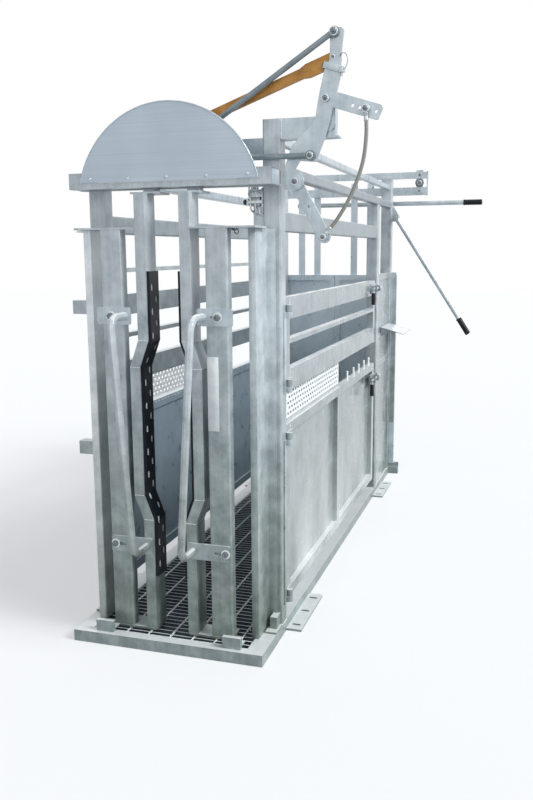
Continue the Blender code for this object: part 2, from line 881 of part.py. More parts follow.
# Fixed bracket of the yoke mechanism, on the right main post
arm_low = pivot_z - arm_drop
toe_x = pivot_x - toe_inset
toe_low = pivot_z - toe_low_drop
arm = box(half + clear, pivot_x + 0.02, at(main_post_at) + 0.003, at(main_post_at) + 0.07,
          arm_low, main_post_top)
toe = box(toe_x, toe_x + toe_width, at(main_post_at) + 0.012, at(main_post_at) + 0.06,
          toe_low, pivot_z - toe_top_drop)
toe_foot = box(toe_x - 0.002, toe_x + toe_width + toe_flange, at(main_post_at) + 0.01,
               at(main_post_at) + 0.064, arm_low, toe_low + 0.002)
ear_outline = bar_outline(pivot_x, arm_low + 0.05, pivot_x, pivot_z, 0.032, 0.026)
ear = prism(ear_outline, "y", at(main_post_at), at(main_post_at) + 0.01)
pivot_pin = rod((pivot_x, rocker_front - 0.008, pivot_z), (pivot_x, at(main_post_at) + 0.005, pivot_z),
                pivot_radius)
washer = rod((pivot_x, rocker_rear + clear, pivot_z), (pivot_x, at(main_post_at) + 0.002, pivot_z), 0.02)
finish("mast_bracket", union([arm, toe, toe_foot, ear, washer, pivot_pin]), galvanised)

# Rocker plate of the yoke: upper arm, cross arm with holes and the dog-leg down to the trip pin
body("rocker_turn", (pivot_x, rocker_rear, pivot_z))


def near(x, z, offsets):
    """Points given as offsets from a pin."""
    return [(x + a, z + b) for a, b in offsets]


top_head = near(upper_pin_x, upper_pin_z, [(-0.018, 0.010), (-0.008, 0.020), (0.030, 0.014), (0.036, 0.004),
                                           (0.028, -0.068)])
right_shoulder = near(pivot_x, pivot_z, [(0.056, 0.074), (0.044, 0.020)])
arm_end = near(pivot_x, pivot_z, [(0.216, -0.036), (0.222, -0.047), (0.204, -0.088), (0.194, -0.089)])
right_waist = near(pivot_x, pivot_z, [(0.028, -0.035), (0.018, -0.085)])
right_knee = near(lower_pin_x, lower_pin_z,
                  [(0.058, 0.066), (0.036, 0.015), (0.024, -0.024), (-0.044, -0.018)])
boss_right = near(trip_pin_x, trip_pin_z, [(0.002, 0.049), (0.020, 0.041), (0.036, 0.006), (0.034, -0.014),
                                           (0.020, -0.030)])
boss_left = near(trip_pin_x, trip_pin_z,
                 [(-0.019, -0.039), (-0.043, -0.029), (-0.049, -0.010), (-0.049, 0.020), (-0.039, 0.062)])
left_knee = near(lower_pin_x, lower_pin_z, [(-0.089, 0.007), (-0.077, 0.039)])
left_waist = near(pivot_x, pivot_z, [(-0.042, -0.079), (-0.028, 0.008), (-0.004, 0.110)])
left_step = near(upper_pin_x, upper_pin_z, [(-0.020, -0.100), (-0.017, -0.039)])
rocker_outline = top_head + right_shoulder + arm_end + right_waist + right_knee
rocker_outline += boss_right + boss_left + left_knee + left_waist + left_step
rocker_holes = [circle(pivot_x, pivot_z, pivot_radius + pin_clear)]
for x, z in near(pivot_x, pivot_z, [(0.105, -0.032), (0.132, -0.041), (0.196, -0.059)]):
    rocker_holes.append(circle(x, z, arm_hole_radius, 12))
plate = prism(rocker_outline[::-1], "y", rocker_front, rocker_rear, rocker_holes)
pins = [plate]
for x, z in ((upper_pin_x, upper_pin_z), (lower_pin_x, lower_pin_z)):
    pins.append(rod((x, eye_front - 0.006, z), (x, rocker_rear - 0.002, z), pin_radius))
pins.append(rod((trip_pin_x, rocker_front - 0.006, trip_pin_z), (trip_pin_x, rocker_rear + 0.012, trip_pin_z),
                pin_radius))
pins.append(rod((lock_pin_x, rocker_front + 0.002, lock_pin_z), (lock_pin_x, rocker_rear + 0.028, lock_pin_z),
                pin_radius))
boss_front = rocker_front - 0.018
pins.append(rod((cable_bolt_x, boss_front, cable_bolt_z), (cable_bolt_x, rocker_front + 0.003, cable_bolt_z),
                cable_boss_radius))
finish("rocker_plate", union(pins), galvanised, "rocker_turn")


def link(name, carrier, start, end, y0, y1, slot_height):
    """A round link with an eye at each end; the far eye is a slot that lets its pin rise and fall."""
    heading = (Vector((end[0], 0, end[1])) - Vector((start[0], 0, start[1]))).normalized()
    middle = y1 - link_radius
    near = prism(circle(start[0], start[1], eye_radius, 20), "y", y0, y1,
                 [circle(start[0], start[1], pin_radius + pin_clear)])
    far_slot = bar_outline(end[0], end[1] - slot_height, end[0], end[1] + slot_height,
                           pin_radius + slot_play, pin_radius + slot_play)
    far_outline = bar_outline(end[0], end[1] - slot_height, end[0], end[1] + slot_height,
                              eye_radius, eye_radius)
    far = prism(far_outline, "y", y0, y1, [far_slot])
    shaft_start = (start[0] + heading.x * (eye_radius - 0.005), middle,
                   start[1] + heading.z * (eye_radius - 0.005))
    shaft_end = (end[0] - heading.x * (eye_radius - 0.005), middle, end[1] - heading.z * (eye_radius - 0.005))
    shaft = rod(shaft_start, shaft_end, link_radius)
    return finish(name, union([near, shaft, far]), galvanised, carrier)


body("upper_link_turn", (upper_pin_x, link_y, upper_pin_z))
link("upper_link", "upper_link_turn", (upper_pin_x, upper_pin_z), (left_lug_x, left_lug_z),
     eye_front, eye_rear, slot_travel)
body("lower_link_turn", (lower_pin_x, link_y, lower_pin_z))
link("lower_link", "lower_link_turn", (lower_pin_x, lower_pin_z), (right_lug_x, lower_pin_z),
     eye_front, eye_rear, slot_travel)

# Trip lever and the cable that pulls it
body("trip_lever_turn", (trip_pin_x, rocker_rear, trip_pin_z))
lever_front = rocker_rear + clear
lever_rear = lever_front + trip_thickness
trip_outline = bar_outline(trip_pin_x, trip_pin_z, trip_end_x, trip_end_z, 0.024, trip_width / 2)
trip_holes = [circle(trip_pin_x, trip_pin_z, pin_radius + pin_clear),
              circle(trip_pin_x + (trip_end_x - trip_pin_x) * trip_hole_share,
                     trip_pin_z + (trip_end_z - trip_pin_z) * trip_hole_share, trip_hole_radius)]
trip = prism(trip_outline, "y", lever_front, lever_rear, trip_holes)
trip_boss = rod((trip_end_x, boss_front, trip_end_z), (trip_end_x, lever_front + 0.004, trip_end_z),
                cable_boss_radius)
finish("trip_lever", union([trip, trip_boss]), galvanised, "trip_lever_turn")
cable_y = boss_front + cable_radius + 0.001
cable_route = [(cable_bolt_x + 0.002, cable_y, cable_bolt_z - cable_boss_radius - clear),
               (0.777, cable_y, 2.09), (0.763, cable_y, 1.99), (0.722, cable_y, 1.88), (0.669, cable_y, 1.79)]
entry = Vector((0.06, 0, 0.072)).normalized() * (cable_boss_radius + 0.0012)
cable_route.append((trip_end_x + entry.x, cable_y, trip_end_z + entry.z))
tube_curve("trip_cable", smooth_path(cable_route, 26), cable_radius, grey_hose, "rocker_turn")

# Locking bar: it turns on the rocker and rests its far end above the front beam
body("locking_bar_turn", (lock_pin_x, rocker_rear, lock_pin_z))
lock_outline = headed_outline(lock_pin_x, lock_pin_z, lock_end_x, lock_end_z, lock_head_height,
                              lock_head_length, lock_bar_height)
lock_front = rocker_rear + clear
lock = prism(lock_outline, "y", lock_front, lock_front + lock_thickness,
             [circle(lock_pin_x, lock_pin_z, pin_radius + pin_clear)])
finish("locking_bar", lock, yellow_zinc, "locking_bar_turn")


# Side gates on the right, with a fixed wall of the same pattern on the left
gate_x0 = half - side_tube_inset - side_tube_width
gate_x1 = half - side_tube_inset
sheet_x0 = half - 0.035


def tube_y(side, y0, y1, z0, z1, x0=gate_x0, x1=gate_x1):
    a, b = ranged(side * x0, side * x1)
    return prism(rect(a, b, z0, z1), "y", y0, y1)


def upper_frame(side, y0, y1, extra):
    top = gate_top_low + gate_rail_height
    pieces = [side_box(side, gate_x0, gate_x1, y0, y0 + gate_stile, gate_mid_low, top)]
    pieces.append(side_box(side, gate_x0, gate_x1, y1 - gate_stile, y1, gate_mid_low, top))
    inset = gate_x0 + 0.0005
    outset = gate_x1 - 0.0005
    start = y0 + 0.02
    stop = y1 - 0.02
    pieces.append(tube_y(side, start, stop, gate_top_low, top - 0.0005, inset, outset))
    pieces.append(tube_y(side, start, stop, gate_thin_low, gate_thin_low + gate_thin_height, inset, outset))
    pieces.append(tube_y(side, start, stop, gate_mid_low + 0.0005, gate_mid_low + gate_rail_height,
                         inset, outset))
    return pieces + extra


def lower_frame(side, y0, y1, extra):
    pieces = [side_box(side, gate_x0, gate_x1, y0, y0 + gate_stile, lower_gate_low, lower_gate_top)]
    pieces.append(side_box(side, gate_x0, gate_x1, y1 - gate_stile, y1, lower_gate_low, lower_gate_top))
    inset = gate_x0 + 0.0005
    outset = gate_x1 - 0.0005
    start = y0 + 0.02
    stop = y1 - 0.02
    pieces.append(tube_y(side, start, stop, lower_gate_top - lower_gate_rail, lower_gate_top - 0.0005,
                         inset, outset))
    pieces.append(tube_y(side, start, stop, lower_gate_low + 0.0005, lower_gate_low + lower_gate_rail,
                         inset, outset))
    pieces.append(side_box(side, sheet_x0, sheet_x0 + panel_thickness, start, stop,
                           lower_gate_low + 0.01, lower_gate_top - 0.01))
    pieces.append(side_box(side, sheet_x0 + 0.001, gate_x1 - 0.0015, at(stiffener_at),
                           at(stiffener_at + stiffener_width), lower_gate_low + 0.02, lower_gate_top - 0.02))
    return pieces + extra


def strip(name, side, look, carrier):
    """Guard strip with rows of slots, below the middle rail."""
    y0 = at(gate_front_at) + gate_stile + 0.02
    y1 = y0 + strip_length
    high = gate_mid_low - clear
    column_step = (y1 - y0) / strip_columns
    row_step = (high - strip_low) / strip_rows
    holes = []
    for row in range(strip_rows):
        for column in range(strip_columns):
            y = y0 + (column + 0.5) * column_step
            z = strip_low + (row + 0.5) * row_step
            holes.append(rect(y - strip_slot_length / 2, y + strip_slot_length / 2,
                              z - strip_slot_height / 2, z + strip_slot_height / 2))
    a, b = ranged(side * (half - 0.03), side * (half - 0.03 + strip_thickness))
    return finish(name, prism(rect(y0, y1, strip_low, high), "x", a, b, holes), look, carrier)


hinge_x = half + hinge_offset
hinge_y = at(main_post_at + post_width) + 0.005
for level, low, high in (("upper", gate_mid_low, gate_top_low + gate_rail_height),
                         ("lower", lower_gate_low, lower_gate_top)):
    body("gate_" + level + "_turn", (hinge_x, hinge_y, low))
    extra = []
    for z in (low + 0.03, high - 0.06):
        barrel = rod((hinge_x, hinge_y, z), (hinge_x, hinge_y, z + hinge_eye_height), hinge_eye_radius)
        leaf_strap = box(gate_x1 - 0.004, hinge_x, hinge_y + 0.002, hinge_y + 0.01, z + 0.003, z + 0.027)
        strap_plate = box(gate_x1 - 0.004, gate_x1 + 0.004, hinge_y + 0.004, hinge_y + 0.10,
                          z + 0.003, z + 0.027)
        pin = rod((hinge_x, hinge_y, z - 0.022), (hinge_x, hinge_y, z + 0.002), hinge_radius)
        extra += [union([barrel, leaf_strap, strap_plate, pin])]
    make_frame = upper_frame if level == "upper" else lower_frame
    frame = make_frame(1, at(gate_front_at), at(gate_rear_at), extra)
    finish("side_gate_" + level, union(frame), galvanised, "gate_" + level + "_turn")
    eyes = []
    for z in (low + 0.03, high - 0.06):
        eye_high = z - clear
        eye_low = eye_high - 0.025
        eye = rod((hinge_x, hinge_y, eye_low), (hinge_x, hinge_y, eye_high), hinge_eye_radius, 14,
                  hinge_radius + pin_clear)
        lug = box(half + clear, hinge_x, hinge_y - hinge_eye_radius - 0.004, hinge_y - hinge_radius - 0.001,
                  eye_low + 0.001, eye_high - 0.001)
        eyes += [lug, eye]
    strap_rear_y = hinge_y - hinge_eye_radius - 0.001
    strap = box(half + clear, half + clear + hinge_strap_thickness, strap_rear_y - hinge_strap_width,
                strap_rear_y, low + 0.002, high - 0.058)
    finish("hinge_strap_" + level, union([strap] + eyes), galvanised)
strip("guard_strip_right", 1, bright_sheet, "gate_upper_turn")
left_wall_ends = (rail_front, at(latch_post_at) - clear)
finish("left_wall_upper", union(upper_frame(-1, *left_wall_ends, [])), galvanised)
finish("left_wall_lower", union(lower_frame(-1, *left_wall_ends, [])), galvanised)
strip("guard_strip_left", -1, bright_sheet, None)
thin = tube_y(-1, rail_front, at(latch_post_at) + sink, left_extra_low, left_extra_low + gate_thin_height)
weld("latch_post_left", [thin])

# Latches of the side gates: a sliding bolt in a plate with two lugs, and a catch open on its outer side
bolt_x = gate_x1 + bolt_offset
for level, z in (("upper", latch_upper_z), ("lower", latch_lower_z)):
    plate_rear = at(gate_rear_at) - 0.004
    plate_front = plate_rear - latch_plate_length
    plate_x1 = gate_x1 + latch_plate_thickness
    backing = box(gate_x1 - sink, plate_x1, plate_front, plate_rear,
                  z - latch_plate_height / 2, z + latch_plate_height / 2)
    lugs = [backing]
    lug_shape = rect(plate_x1 - 0.002, bolt_x + 0.016, z - 0.018, z + 0.018)
    for y in (plate_front + 0.012, plate_rear - 0.03):
        hole = circle(bolt_x, z, bolt_radius + pin_clear)
        lugs.append(prism(lug_shape, "y", y, y + latch_lug_thickness, [hole]))
    weld("side_gate_" + level, lugs)
    body("latch_" + level + "_slide", (bolt_x, at(bolt_start_at), z))
    bolt = rod((bolt_x, at(bolt_start_at), z), (bolt_x, at(bolt_end_at), z), bolt_radius)
    stem_y = at(bolt_start_at) + 0.008
    stem = rod((bolt_x, stem_y, z - latch_stem), (bolt_x, stem_y, z), bolt_radius * 0.75)
    finish("latch_bolt_" + level, union([bolt, stem]), galvanised, "latch_" + level + "_slide")
    grip = rod((bolt_x, stem_y, z - latch_stem), (bolt_x, stem_y, z - latch_stem + grip_length),
               grip_radius, 16, bolt_radius * 0.75 + clear)
    finish("latch_grip_" + level, grip, black_rubber, "latch_" + level + "_slide")
    catch_y = at(latch_post_at) + 0.012
    shelf_top = z - bolt_radius - clear
    shelf_low = shelf_top - catch_thickness
    catch_x0 = half + clear
    catch_x1 = catch_x0 + catch_thickness
    catch_out = bolt_x + bolt_radius - 0.002
    catch_outline = [(catch_x0, shelf_low), (catch_out, shelf_low), (catch_out, shelf_top),
                     (catch_x1, shelf_top), (catch_x1, z + catch_above), (catch_x0, z + catch_above)]
    catch = prism(catch_outline, "y", catch_y, catch_y + catch_length)
    finish("latch_catch_" + level, catch, galvanised)

# Fixed panels beside the rear bay, and the sloping wing with its gusset on the right one
for side_name, side in sides.items():
    y0 = at(latch_post_at + post_width) + clear
    y1 = at(rear_post_at) - clear
    tube_in = half - 0.002 - bay_tube_width
    bay_top = bay_panel_top + bay_tube / 2
    panel = side_box(side, half - 0.012, half - 0.012 + panel_thickness, y0, y1, post_low, bay_panel_top)
    cap = side_box(side, tube_in, half - 0.002, y0, y1, bay_top - bay_tube, bay_top)
    middle_tube = side_box(side, tube_in, half - 0.002, y0, y1, bay_middle_low, bay_middle_low + bay_tube)
    finish("rear_bay_panel_" + side_name, union([panel, cap, middle_tube]), galvanised)
wing_front = at(latch_post_at + post_width + wing_near)
wing_rear = at(rear_post_at + angle_at) - clear
wing_x0 = half + 0.0005
wing_x1 = half + wing_reach
wing_edge_low = wing_low - wing_fall
wing_outline = [(wing_x0, wing_low), (wing_x1, wing_edge_low),
                (wing_x1, wing_edge_low + wing_thickness), (wing_x0, wing_low + wing_thickness)]
wing_plate = prism(wing_outline, "y", wing_front, wing_rear)
wing_foot = box(half - 0.0105, half + 0.0045, wing_front + 0.02, at(rear_post_at) - 0.02,
                wing_low - wing_foot_drop, wing_low + wing_thickness / 2)
gusset_top = wing_low + wing_thickness / 2
gusset_x1 = half + gusset_reach
gusset_outline = [(wing_x0, wing_low - gusset_drop),
                  (gusset_x1, gusset_top - wing_fall * gusset_reach / wing_reach), (wing_x0, gusset_top)]
gusset_front = wing_front + gusset_thickness / 2
gusset = prism(gusset_outline, "y", gusset_front, gusset_front + gusset_thickness)
weld("rear_bay_panel_right", [wing_foot, wing_plate, gusset])

# Rear posts carry the double track, the doors hang from its lower rail
track_front = at(rear_post_at + post_width) + clear
track_rear = track_front + track_depth
low_rail = box(-track_reach, track_reach, track_front, track_rear, track_low, track_low + track_height)
high_rail = box(-track_reach, track_reach, track_front, track_rear, track_upper_low,
                track_upper_low + track_upper_height)
track_pieces = [low_rail, high_rail]
for side in (1, -1):
    track_pieces.append(side_box(side, track_reach - 0.006, track_reach + 0.002, track_front - 0.001,
                                 track_rear + 0.001, track_low - 0.004,
                                 track_upper_low + track_upper_height + 0.004))
    plate_x = track_reach - track_plate_inset
    track_pieces.append(side_box(side, plate_x - track_plate_width, plate_x, track_front - 0.006,
                                 track_front + 0.004, track_low + 0.01,
                                 track_upper_low + track_upper_height + track_plate_rise))
finish("door_track", union(track_pieces), galvanised)

door_front = track_front + 0.005
door_rear = door_front + door_depth
strap_front = track_rear + clear
strap_rear = strap_front + strap_plate_thickness
for side_name, side in sides.items():
    carrier = "door_" + side_name + "_slide"
    body(carrier, (side * door_out / 2, track_front, track_low + track_height))
    x_in = door_meeting_gap / 2
    outline = flip(rect(x_in, door_out, door_low, door_top), side)
    opening = flip(rect(x_in + door_frame, door_out - door_frame,
                        door_low + door_frame, door_top - door_frame), side)
    pieces = [prism(outline, "y", door_front, door_rear, [opening])]
    pieces.append(side_box(side, x_in + 0.01, door_out - 0.01, door_front + 0.012, door_front + 0.015,
                           door_low + 0.01, door_top - 0.01))
    for x in (door_strap_inner, door_strap_outer):
        pieces.append(side_box(side, x, x + hanger_strap_width, strap_front, strap_rear,
                               door_top - 0.12, strap_head))
        wheel_x = side * (x + hanger_strap_width / 2)
        wheel_z = track_low + track_height + roller_radius + clear
        pieces.append(rod((wheel_x, track_front + 0.006, wheel_z), (wheel_x, strap_front + 0.002, wheel_z),
                          roller_radius, 16))
    finish("rear_door_" + side_name, union(pieces), dark_sheet, carrier)

# Guide for the feet of the doors, on the rear member of the base
guide_front = track_front
guide_x = half + rear_stub_reach
guide_low = floor_top - sink
guide_top = floor_top + guide_height
base_extras.append(box(-guide_x, guide_x, guide_front, guide_front + guide_lip, guide_low, guide_top))
base_extras.append(box(-guide_x, guide_x, rear - guide_lip + 0.0005, rear, guide_low, guide_top))
weld("base_frame", base_extras)

# Corner angle outside the right rear post, for joining to a race, and its twin on the left
for side_name, side in sides.items():
    angle_low = post_low + angle_above_base
    angle_rear = at(rear_post_at + angle_at + angle_leg)
    leg_a = side_box(side, half - sink, half + angle_reach, angle_rear - angle_thickness, angle_rear,
                     angle_low, bay_top)
    leg_b = side_box(side, half - sink, half + angle_thickness + 0.0005, at(rear_post_at + angle_at),
                     angle_rear - 0.001, angle_low, bay_top)
    weld("rear_post_" + side_name, [leg_a, leg_b])

# Bracket at the head of the right rear post, which carries the lever's pin
lever_two_x = half + lever_two_out
bracket_front = track_front - bracket_inset
bracket_rear = bracket_front + bracket_thickness
bracket_mid = bracket_front + bracket_thickness / 5
bracket_x1 = half + bracket_reach
bracket_outline = [(half + clear, lever_two_z - bracket_below), (lever_two_x, lever_two_z - bracket_below),
                   (bracket_x1, lever_two_z - bracket_tip_half), (bracket_x1, lever_two_z + bracket_tip_half),
                   (half + bracket_top_reach, lever_two_z + bracket_above),
                   (half + clear, lever_two_z + bracket_above)]
bracket_plate = prism(bracket_outline, "y", bracket_front, bracket_rear)
lever_axle = rod((lever_two_x, at(lever_two_at) - lever_hub_length / 2 - 0.004, lever_two_z),
                 (lever_two_x, bracket_mid, lever_two_z), lever_pin_radius)
collar = rod((lever_two_x, at(lever_two_at) + lever_hub_length / 2 + clear, lever_two_z),
             (lever_two_x, bracket_mid, lever_two_z), lever_collar_radius)
finish("lever_bracket", union([bracket_plate, lever_axle, collar]), galvanised)

# Slide bar: two pads hold it to the straps of the left door, and it runs behind the right door to a grip
bar_y = strap_rear + slide_bar_gap + lever_radius
bar_start = -(door_strap_outer + hanger_strap_width) - slide_bar_tail
slide_bar_end_x = half + slide_bar_reach
slide_bar = [rod((bar_start, bar_y, slide_bar_z), (slide_bar_end_x, bar_y, slide_bar_z), lever_radius)]
for strap_x in (door_strap_inner, door_strap_outer):
    pad_x = -(strap_x + hanger_strap_width / 2)
    slide_bar.append(box(pad_x - slide_bar_pad, pad_x + slide_bar_pad, strap_rear + clear, bar_y,
                         slide_bar_z - slide_bar_pad, slide_bar_z + slide_bar_pad))
finish("rear_lever_one", union(slide_bar), galvanised, "door_left_slide")
sleeve = rod((slide_bar_end_x - lever_grip_length, bar_y, slide_bar_z), (slide_bar_end_x, bar_y, slide_bar_z),
             lever_grip_radius, 16, lever_radius + clear * 2)
finish("rear_grip_one", sleeve, black_rubber, "door_left_slide")

# Lever that hangs from the bracket's pin
body("lever_two_turn", (lever_two_x, at(lever_two_at), lever_two_z))
lever_two_end_x = lever_two_x + lever_two_reach
lever_two_end_z = lever_two_z - lever_two_drop
heading = (Vector((lever_two_end_x, 0, lever_two_end_z)) - Vector((lever_two_x, 0, lever_two_z))).normalized()
hub = rod((lever_two_x, at(lever_two_at) - lever_hub_length / 2, lever_two_z),
          (lever_two_x, at(lever_two_at) + lever_hub_length / 2, lever_two_z), lever_hub_radius, 18,
          lever_pin_radius + pin_clear)
hub_reach = lever_hub_radius - 0.005
lever_end = (lever_two_end_x, at(lever_two_at), lever_two_end_z)
shaft = rod((lever_two_x + heading.x * hub_reach, at(lever_two_at), lever_two_z + heading.z * hub_reach),
            lever_end, lever_radius)
finish("rear_lever_two", union([hub, shaft]), galvanised, "lever_two_turn")
grip_start = (lever_end[0] - heading.x * lever_grip_length, lever_end[1],
              lever_end[2] - heading.z * lever_grip_length)
sleeve = rod(grip_start, lever_end, lever_grip_radius, 16, lever_radius + clear * 2)
finish("rear_grip_two", sleeve, black_rubber, "lever_two_turn")

# Hinge lugs on the outer face of the left main post
for z in (left_lug_high, left_lug_low):
    lug_front = at(main_post_at) + left_lug_front
    lug = side_box(-1, half - sink, half + left_lug_reach, lug_front, lug_front + left_lug_length,
                   z - left_lug_height / 2, z + left_lug_height / 2)
    weld("main_post_left", [lug])
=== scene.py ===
# %% [markdown]
# # A galvanised cattle crush, dressed and lit
#
# The solid model of the crush is finished, and this lesson gives it what a camera would see: zinc, rubber,
# bolts, weld beads and light. Loading the imported model comes first, because every new piece is placed by
# the corners of the nodes that it sits on.

# %% Load the imported model
import math

import bmesh
import bpy
from mathutils import Matrix, Vector, noise


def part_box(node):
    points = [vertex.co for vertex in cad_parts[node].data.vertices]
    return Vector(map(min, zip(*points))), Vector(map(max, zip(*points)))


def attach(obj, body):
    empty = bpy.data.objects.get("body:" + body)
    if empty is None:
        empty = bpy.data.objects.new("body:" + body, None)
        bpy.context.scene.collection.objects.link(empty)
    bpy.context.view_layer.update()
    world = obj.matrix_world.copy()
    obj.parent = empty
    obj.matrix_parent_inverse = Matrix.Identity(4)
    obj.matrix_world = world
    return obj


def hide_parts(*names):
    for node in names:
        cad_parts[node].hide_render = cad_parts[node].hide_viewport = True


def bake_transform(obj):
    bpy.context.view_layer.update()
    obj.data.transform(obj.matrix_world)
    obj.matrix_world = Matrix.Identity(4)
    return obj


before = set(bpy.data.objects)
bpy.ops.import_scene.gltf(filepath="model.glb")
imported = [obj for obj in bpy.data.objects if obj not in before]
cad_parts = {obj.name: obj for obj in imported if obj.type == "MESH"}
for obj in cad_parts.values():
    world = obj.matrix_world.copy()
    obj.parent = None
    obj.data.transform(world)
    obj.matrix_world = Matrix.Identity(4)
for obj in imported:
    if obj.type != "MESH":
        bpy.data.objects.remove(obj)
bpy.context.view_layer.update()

MM = 0.001

# %% [markdown]
# ## The camera
#
# A photograph can be matched by hand, by turning a camera until the edges fall on the picture.
# Here the camera was worked out from long edges of the base and posts whose sizes are known.
# Yaw, pitch and roll describe it in the way a photographer holds it: the camera stands three
# metres in front of the crush and to its right, at eye height, and looks slightly down.

# %% Camera
CAMERA_PLACE = Vector((1.39893, -4.59458, 1.66240))
CAMERA_YAW = math.radians(17.4706)
CAMERA_PITCH = math.radians(10.058)
CAMERA_ROLL = math.radians(-0.4039)
SENSOR_HEIGHT_MM = 36
FOCAL_LENGTH_MM = 37.529
forward = Vector((-math.sin(CAMERA_YAW) * math.cos(CAMERA_PITCH),
                  math.cos(CAMERA_YAW) * math.cos(CAMERA_PITCH), -math.sin(CAMERA_PITCH)))
level_right = forward.cross(Vector((0, 0, 1))).normalized()
level_up = level_right.cross(forward)
right = level_right * math.cos(CAMERA_ROLL) + level_up * math.sin(CAMERA_ROLL)
up = level_up * math.cos(CAMERA_ROLL) - level_right * math.sin(CAMERA_ROLL)
lens = bpy.data.cameras.new("photo_camera")
lens.sensor_fit = "VERTICAL"
lens.sensor_height = SENSOR_HEIGHT_MM
lens.lens = FOCAL_LENGTH_MM
lens.clip_end = 100
camera = bpy.data.objects.new("photo_camera", lens)
camera.matrix_world = Matrix((right, up, -forward)).transposed().to_4x4()
camera.location = CAMERA_PLACE
bpy.context.collection.objects.link(camera)
bpy.context.scene.camera = camera
bpy.context.scene.view_settings.view_transform = "Standard"
print("camera", tuple(round(x, 3) for x in camera.location))

# %% [markdown]
# ## Helpers for shader nodes and colours
#
# A material is a small graph, and each line of it should say what it adds. One helper adds a
# node, sets its values and links it, so a graph can be read from top to bottom. Colours are
# written as they look on a screen, in hex, and one function turns them into the linear values
# that a renderer works in.

# %% Helpers for materials
def colour(hex_code):
    """Linear colour from an sRGB hex code."""
    shares = [int(hex_code[i:i + 2], 16) / 255 for i in (1, 3, 5)]
    linear = [s / 12.92 if s <= 0.04045 else ((s + 0.055) / 1.055) ** 2.4 for s in shares]
    return (*linear, 1.0)


def add(tree, kind, values=None, **settings):
    """Add a shader node, set its settings, and fill its sockets with numbers or with links."""
    made = tree.nodes.new("ShaderNode" + kind)
    for name, value in settings.items():
        setattr(made, name, value)
    for socket, value in (values or {}).items():
        if isinstance(value, bpy.types.NodeSocket):
            tree.links.new(value, made.inputs[socket])
        else:
            made.inputs[socket].default_value = value
    return made


def new_material(name):
    """A new material, the tree that its nodes are added to, and its shader."""
    made = bpy.data.materials.new(name)
    made.use_nodes = True
    tree = made.node_tree
    return made, tree, tree.nodes["Principled BSDF"]


print("white is", colour("#ffffff"))

# %% [markdown]
# ## The tones of hot-dip galvanised steel
#
# The frame is welded from mild steel and dipped in molten zinc, which weathers to a soft grey with paler
# clouds about a hand wide. Zinc runs down as the piece leaves the bath, and that leaves long upright streaks.
# Near the ground the surface takes an olive tint, which is partly dirt and partly a painted reflection of the
# ground. The graph follows that: noise gives the clouds, noise stretched along Z gives the streaks, and a
# blend by height gives the tint. The clouds also shift that height, so that the tint has no straight edge.

# %% Tones of zinc
CLOUD = 95 * MM
STREAK = 18 * MM
TINT_FULL_HEIGHT, TINT_GONE_HEIGHT = 0.5, 1.8


def zinc_tones(tree, spot, pale, dull, dirt_and_reflection_tint, streaks):
    """Two tones in clouds and streaks, with a tint near the ground that is partly dirt and partly painted
    reflection: the clouds, height and colour.
    """
    clouds = add(tree, "TexNoise", {"Vector": spot, "Scale": 1 / CLOUD, "Detail": 5.0, "Roughness": 0.62})
    drawn = add(tree, "Mapping", {"Vector": spot, "Scale": (1 / STREAK, 1 / STREAK, 1.6)})
    runs = add(tree, "TexNoise", {"Vector": drawn.outputs[0], "Scale": 1.0, "Detail": 3.0})
    cloud_share = add(tree, "MapRange", {"Value": clouds.outputs[0], "From Min": 0.32, "From Max": 0.68})
    run_share = add(tree, "MapRange", {"Value": runs.outputs[0], "From Min": 0.42, "From Max": 0.66,
                                       "To Max": streaks})
    share = add(tree, "Math", {0: cloud_share.outputs[0], 1: run_share.outputs[0]}, operation="ADD",
                use_clamp=True)
    body = add(tree, "Mix", {"Factor": share.outputs[0], "A": colour(dull), "B": colour(pale)},
               data_type="RGBA")
    height = add(tree, "SeparateXYZ", {"Vector": spot})
    wander = add(tree, "Math", {0: clouds.outputs[0], 1: 0.9, 2: height.outputs["Z"]},
                 operation="MULTIPLY_ADD")
    # The olive tint near the ground is partly dirt and partly a painted reflection of the ground.
    low = add(tree, "MapRange", {"Value": wander.outputs[0], "From Min": TINT_FULL_HEIGHT,
                                 "From Max": TINT_GONE_HEIGHT, "To Min": 1.0, "To Max": 0.0})
    tinted = add(tree, "Mix", {"Factor": low.outputs[0], "A": body.outputs[2], "B": colour(dirt_and_reflection_tint)},
                 data_type="RGBA", blend_type="MULTIPLY")
    return clouds.outputs[0], height.outputs["Z"], tinted.outputs[2]


print("clouds", CLOUD, "m, streaks", STREAK, "m")

# %% [markdown]
# ## Painted top light and painted reflections on the zinc
#
# Faces that look up get a paler tone, which is painted top light. The object's own normal tells which faces
# those are, and it turns with a gate or lever that moves. A wide sheet also gets pale upright patches below
# knee height, which are a painted reflection of the ground. They are soft noise about a third of a metre
# wide, stretched to a metre along Z and faded out with height.

# %% Painted top light and reflections
TOP_LIGHT_TONE = "#f2f5f6"
GROUND_REFLECTION_TONE = "#f4f8f8"
FLARE_TOP, FLARE_FOOT = 0.85, 0.05


# Painted top light: faces that look up are made paler in colour.
def with_painted_top_light(tree, tone, normal, film):
    """The tone with painted top light on the faces that look up, by the share in film."""
    facing = add(tree, "SeparateXYZ", {"Vector": normal})
    upward = add(tree, "MapRange", {"Value": facing.outputs["Z"], "From Min": 0.55, "From Max": 0.9,
                                    "To Max": film})
    top_lit = add(tree, "Mix", {"Factor": upward.outputs[0], "A": tone, "B": colour(TOP_LIGHT_TONE)},
                 data_type="RGBA")
    return top_lit.outputs[2]
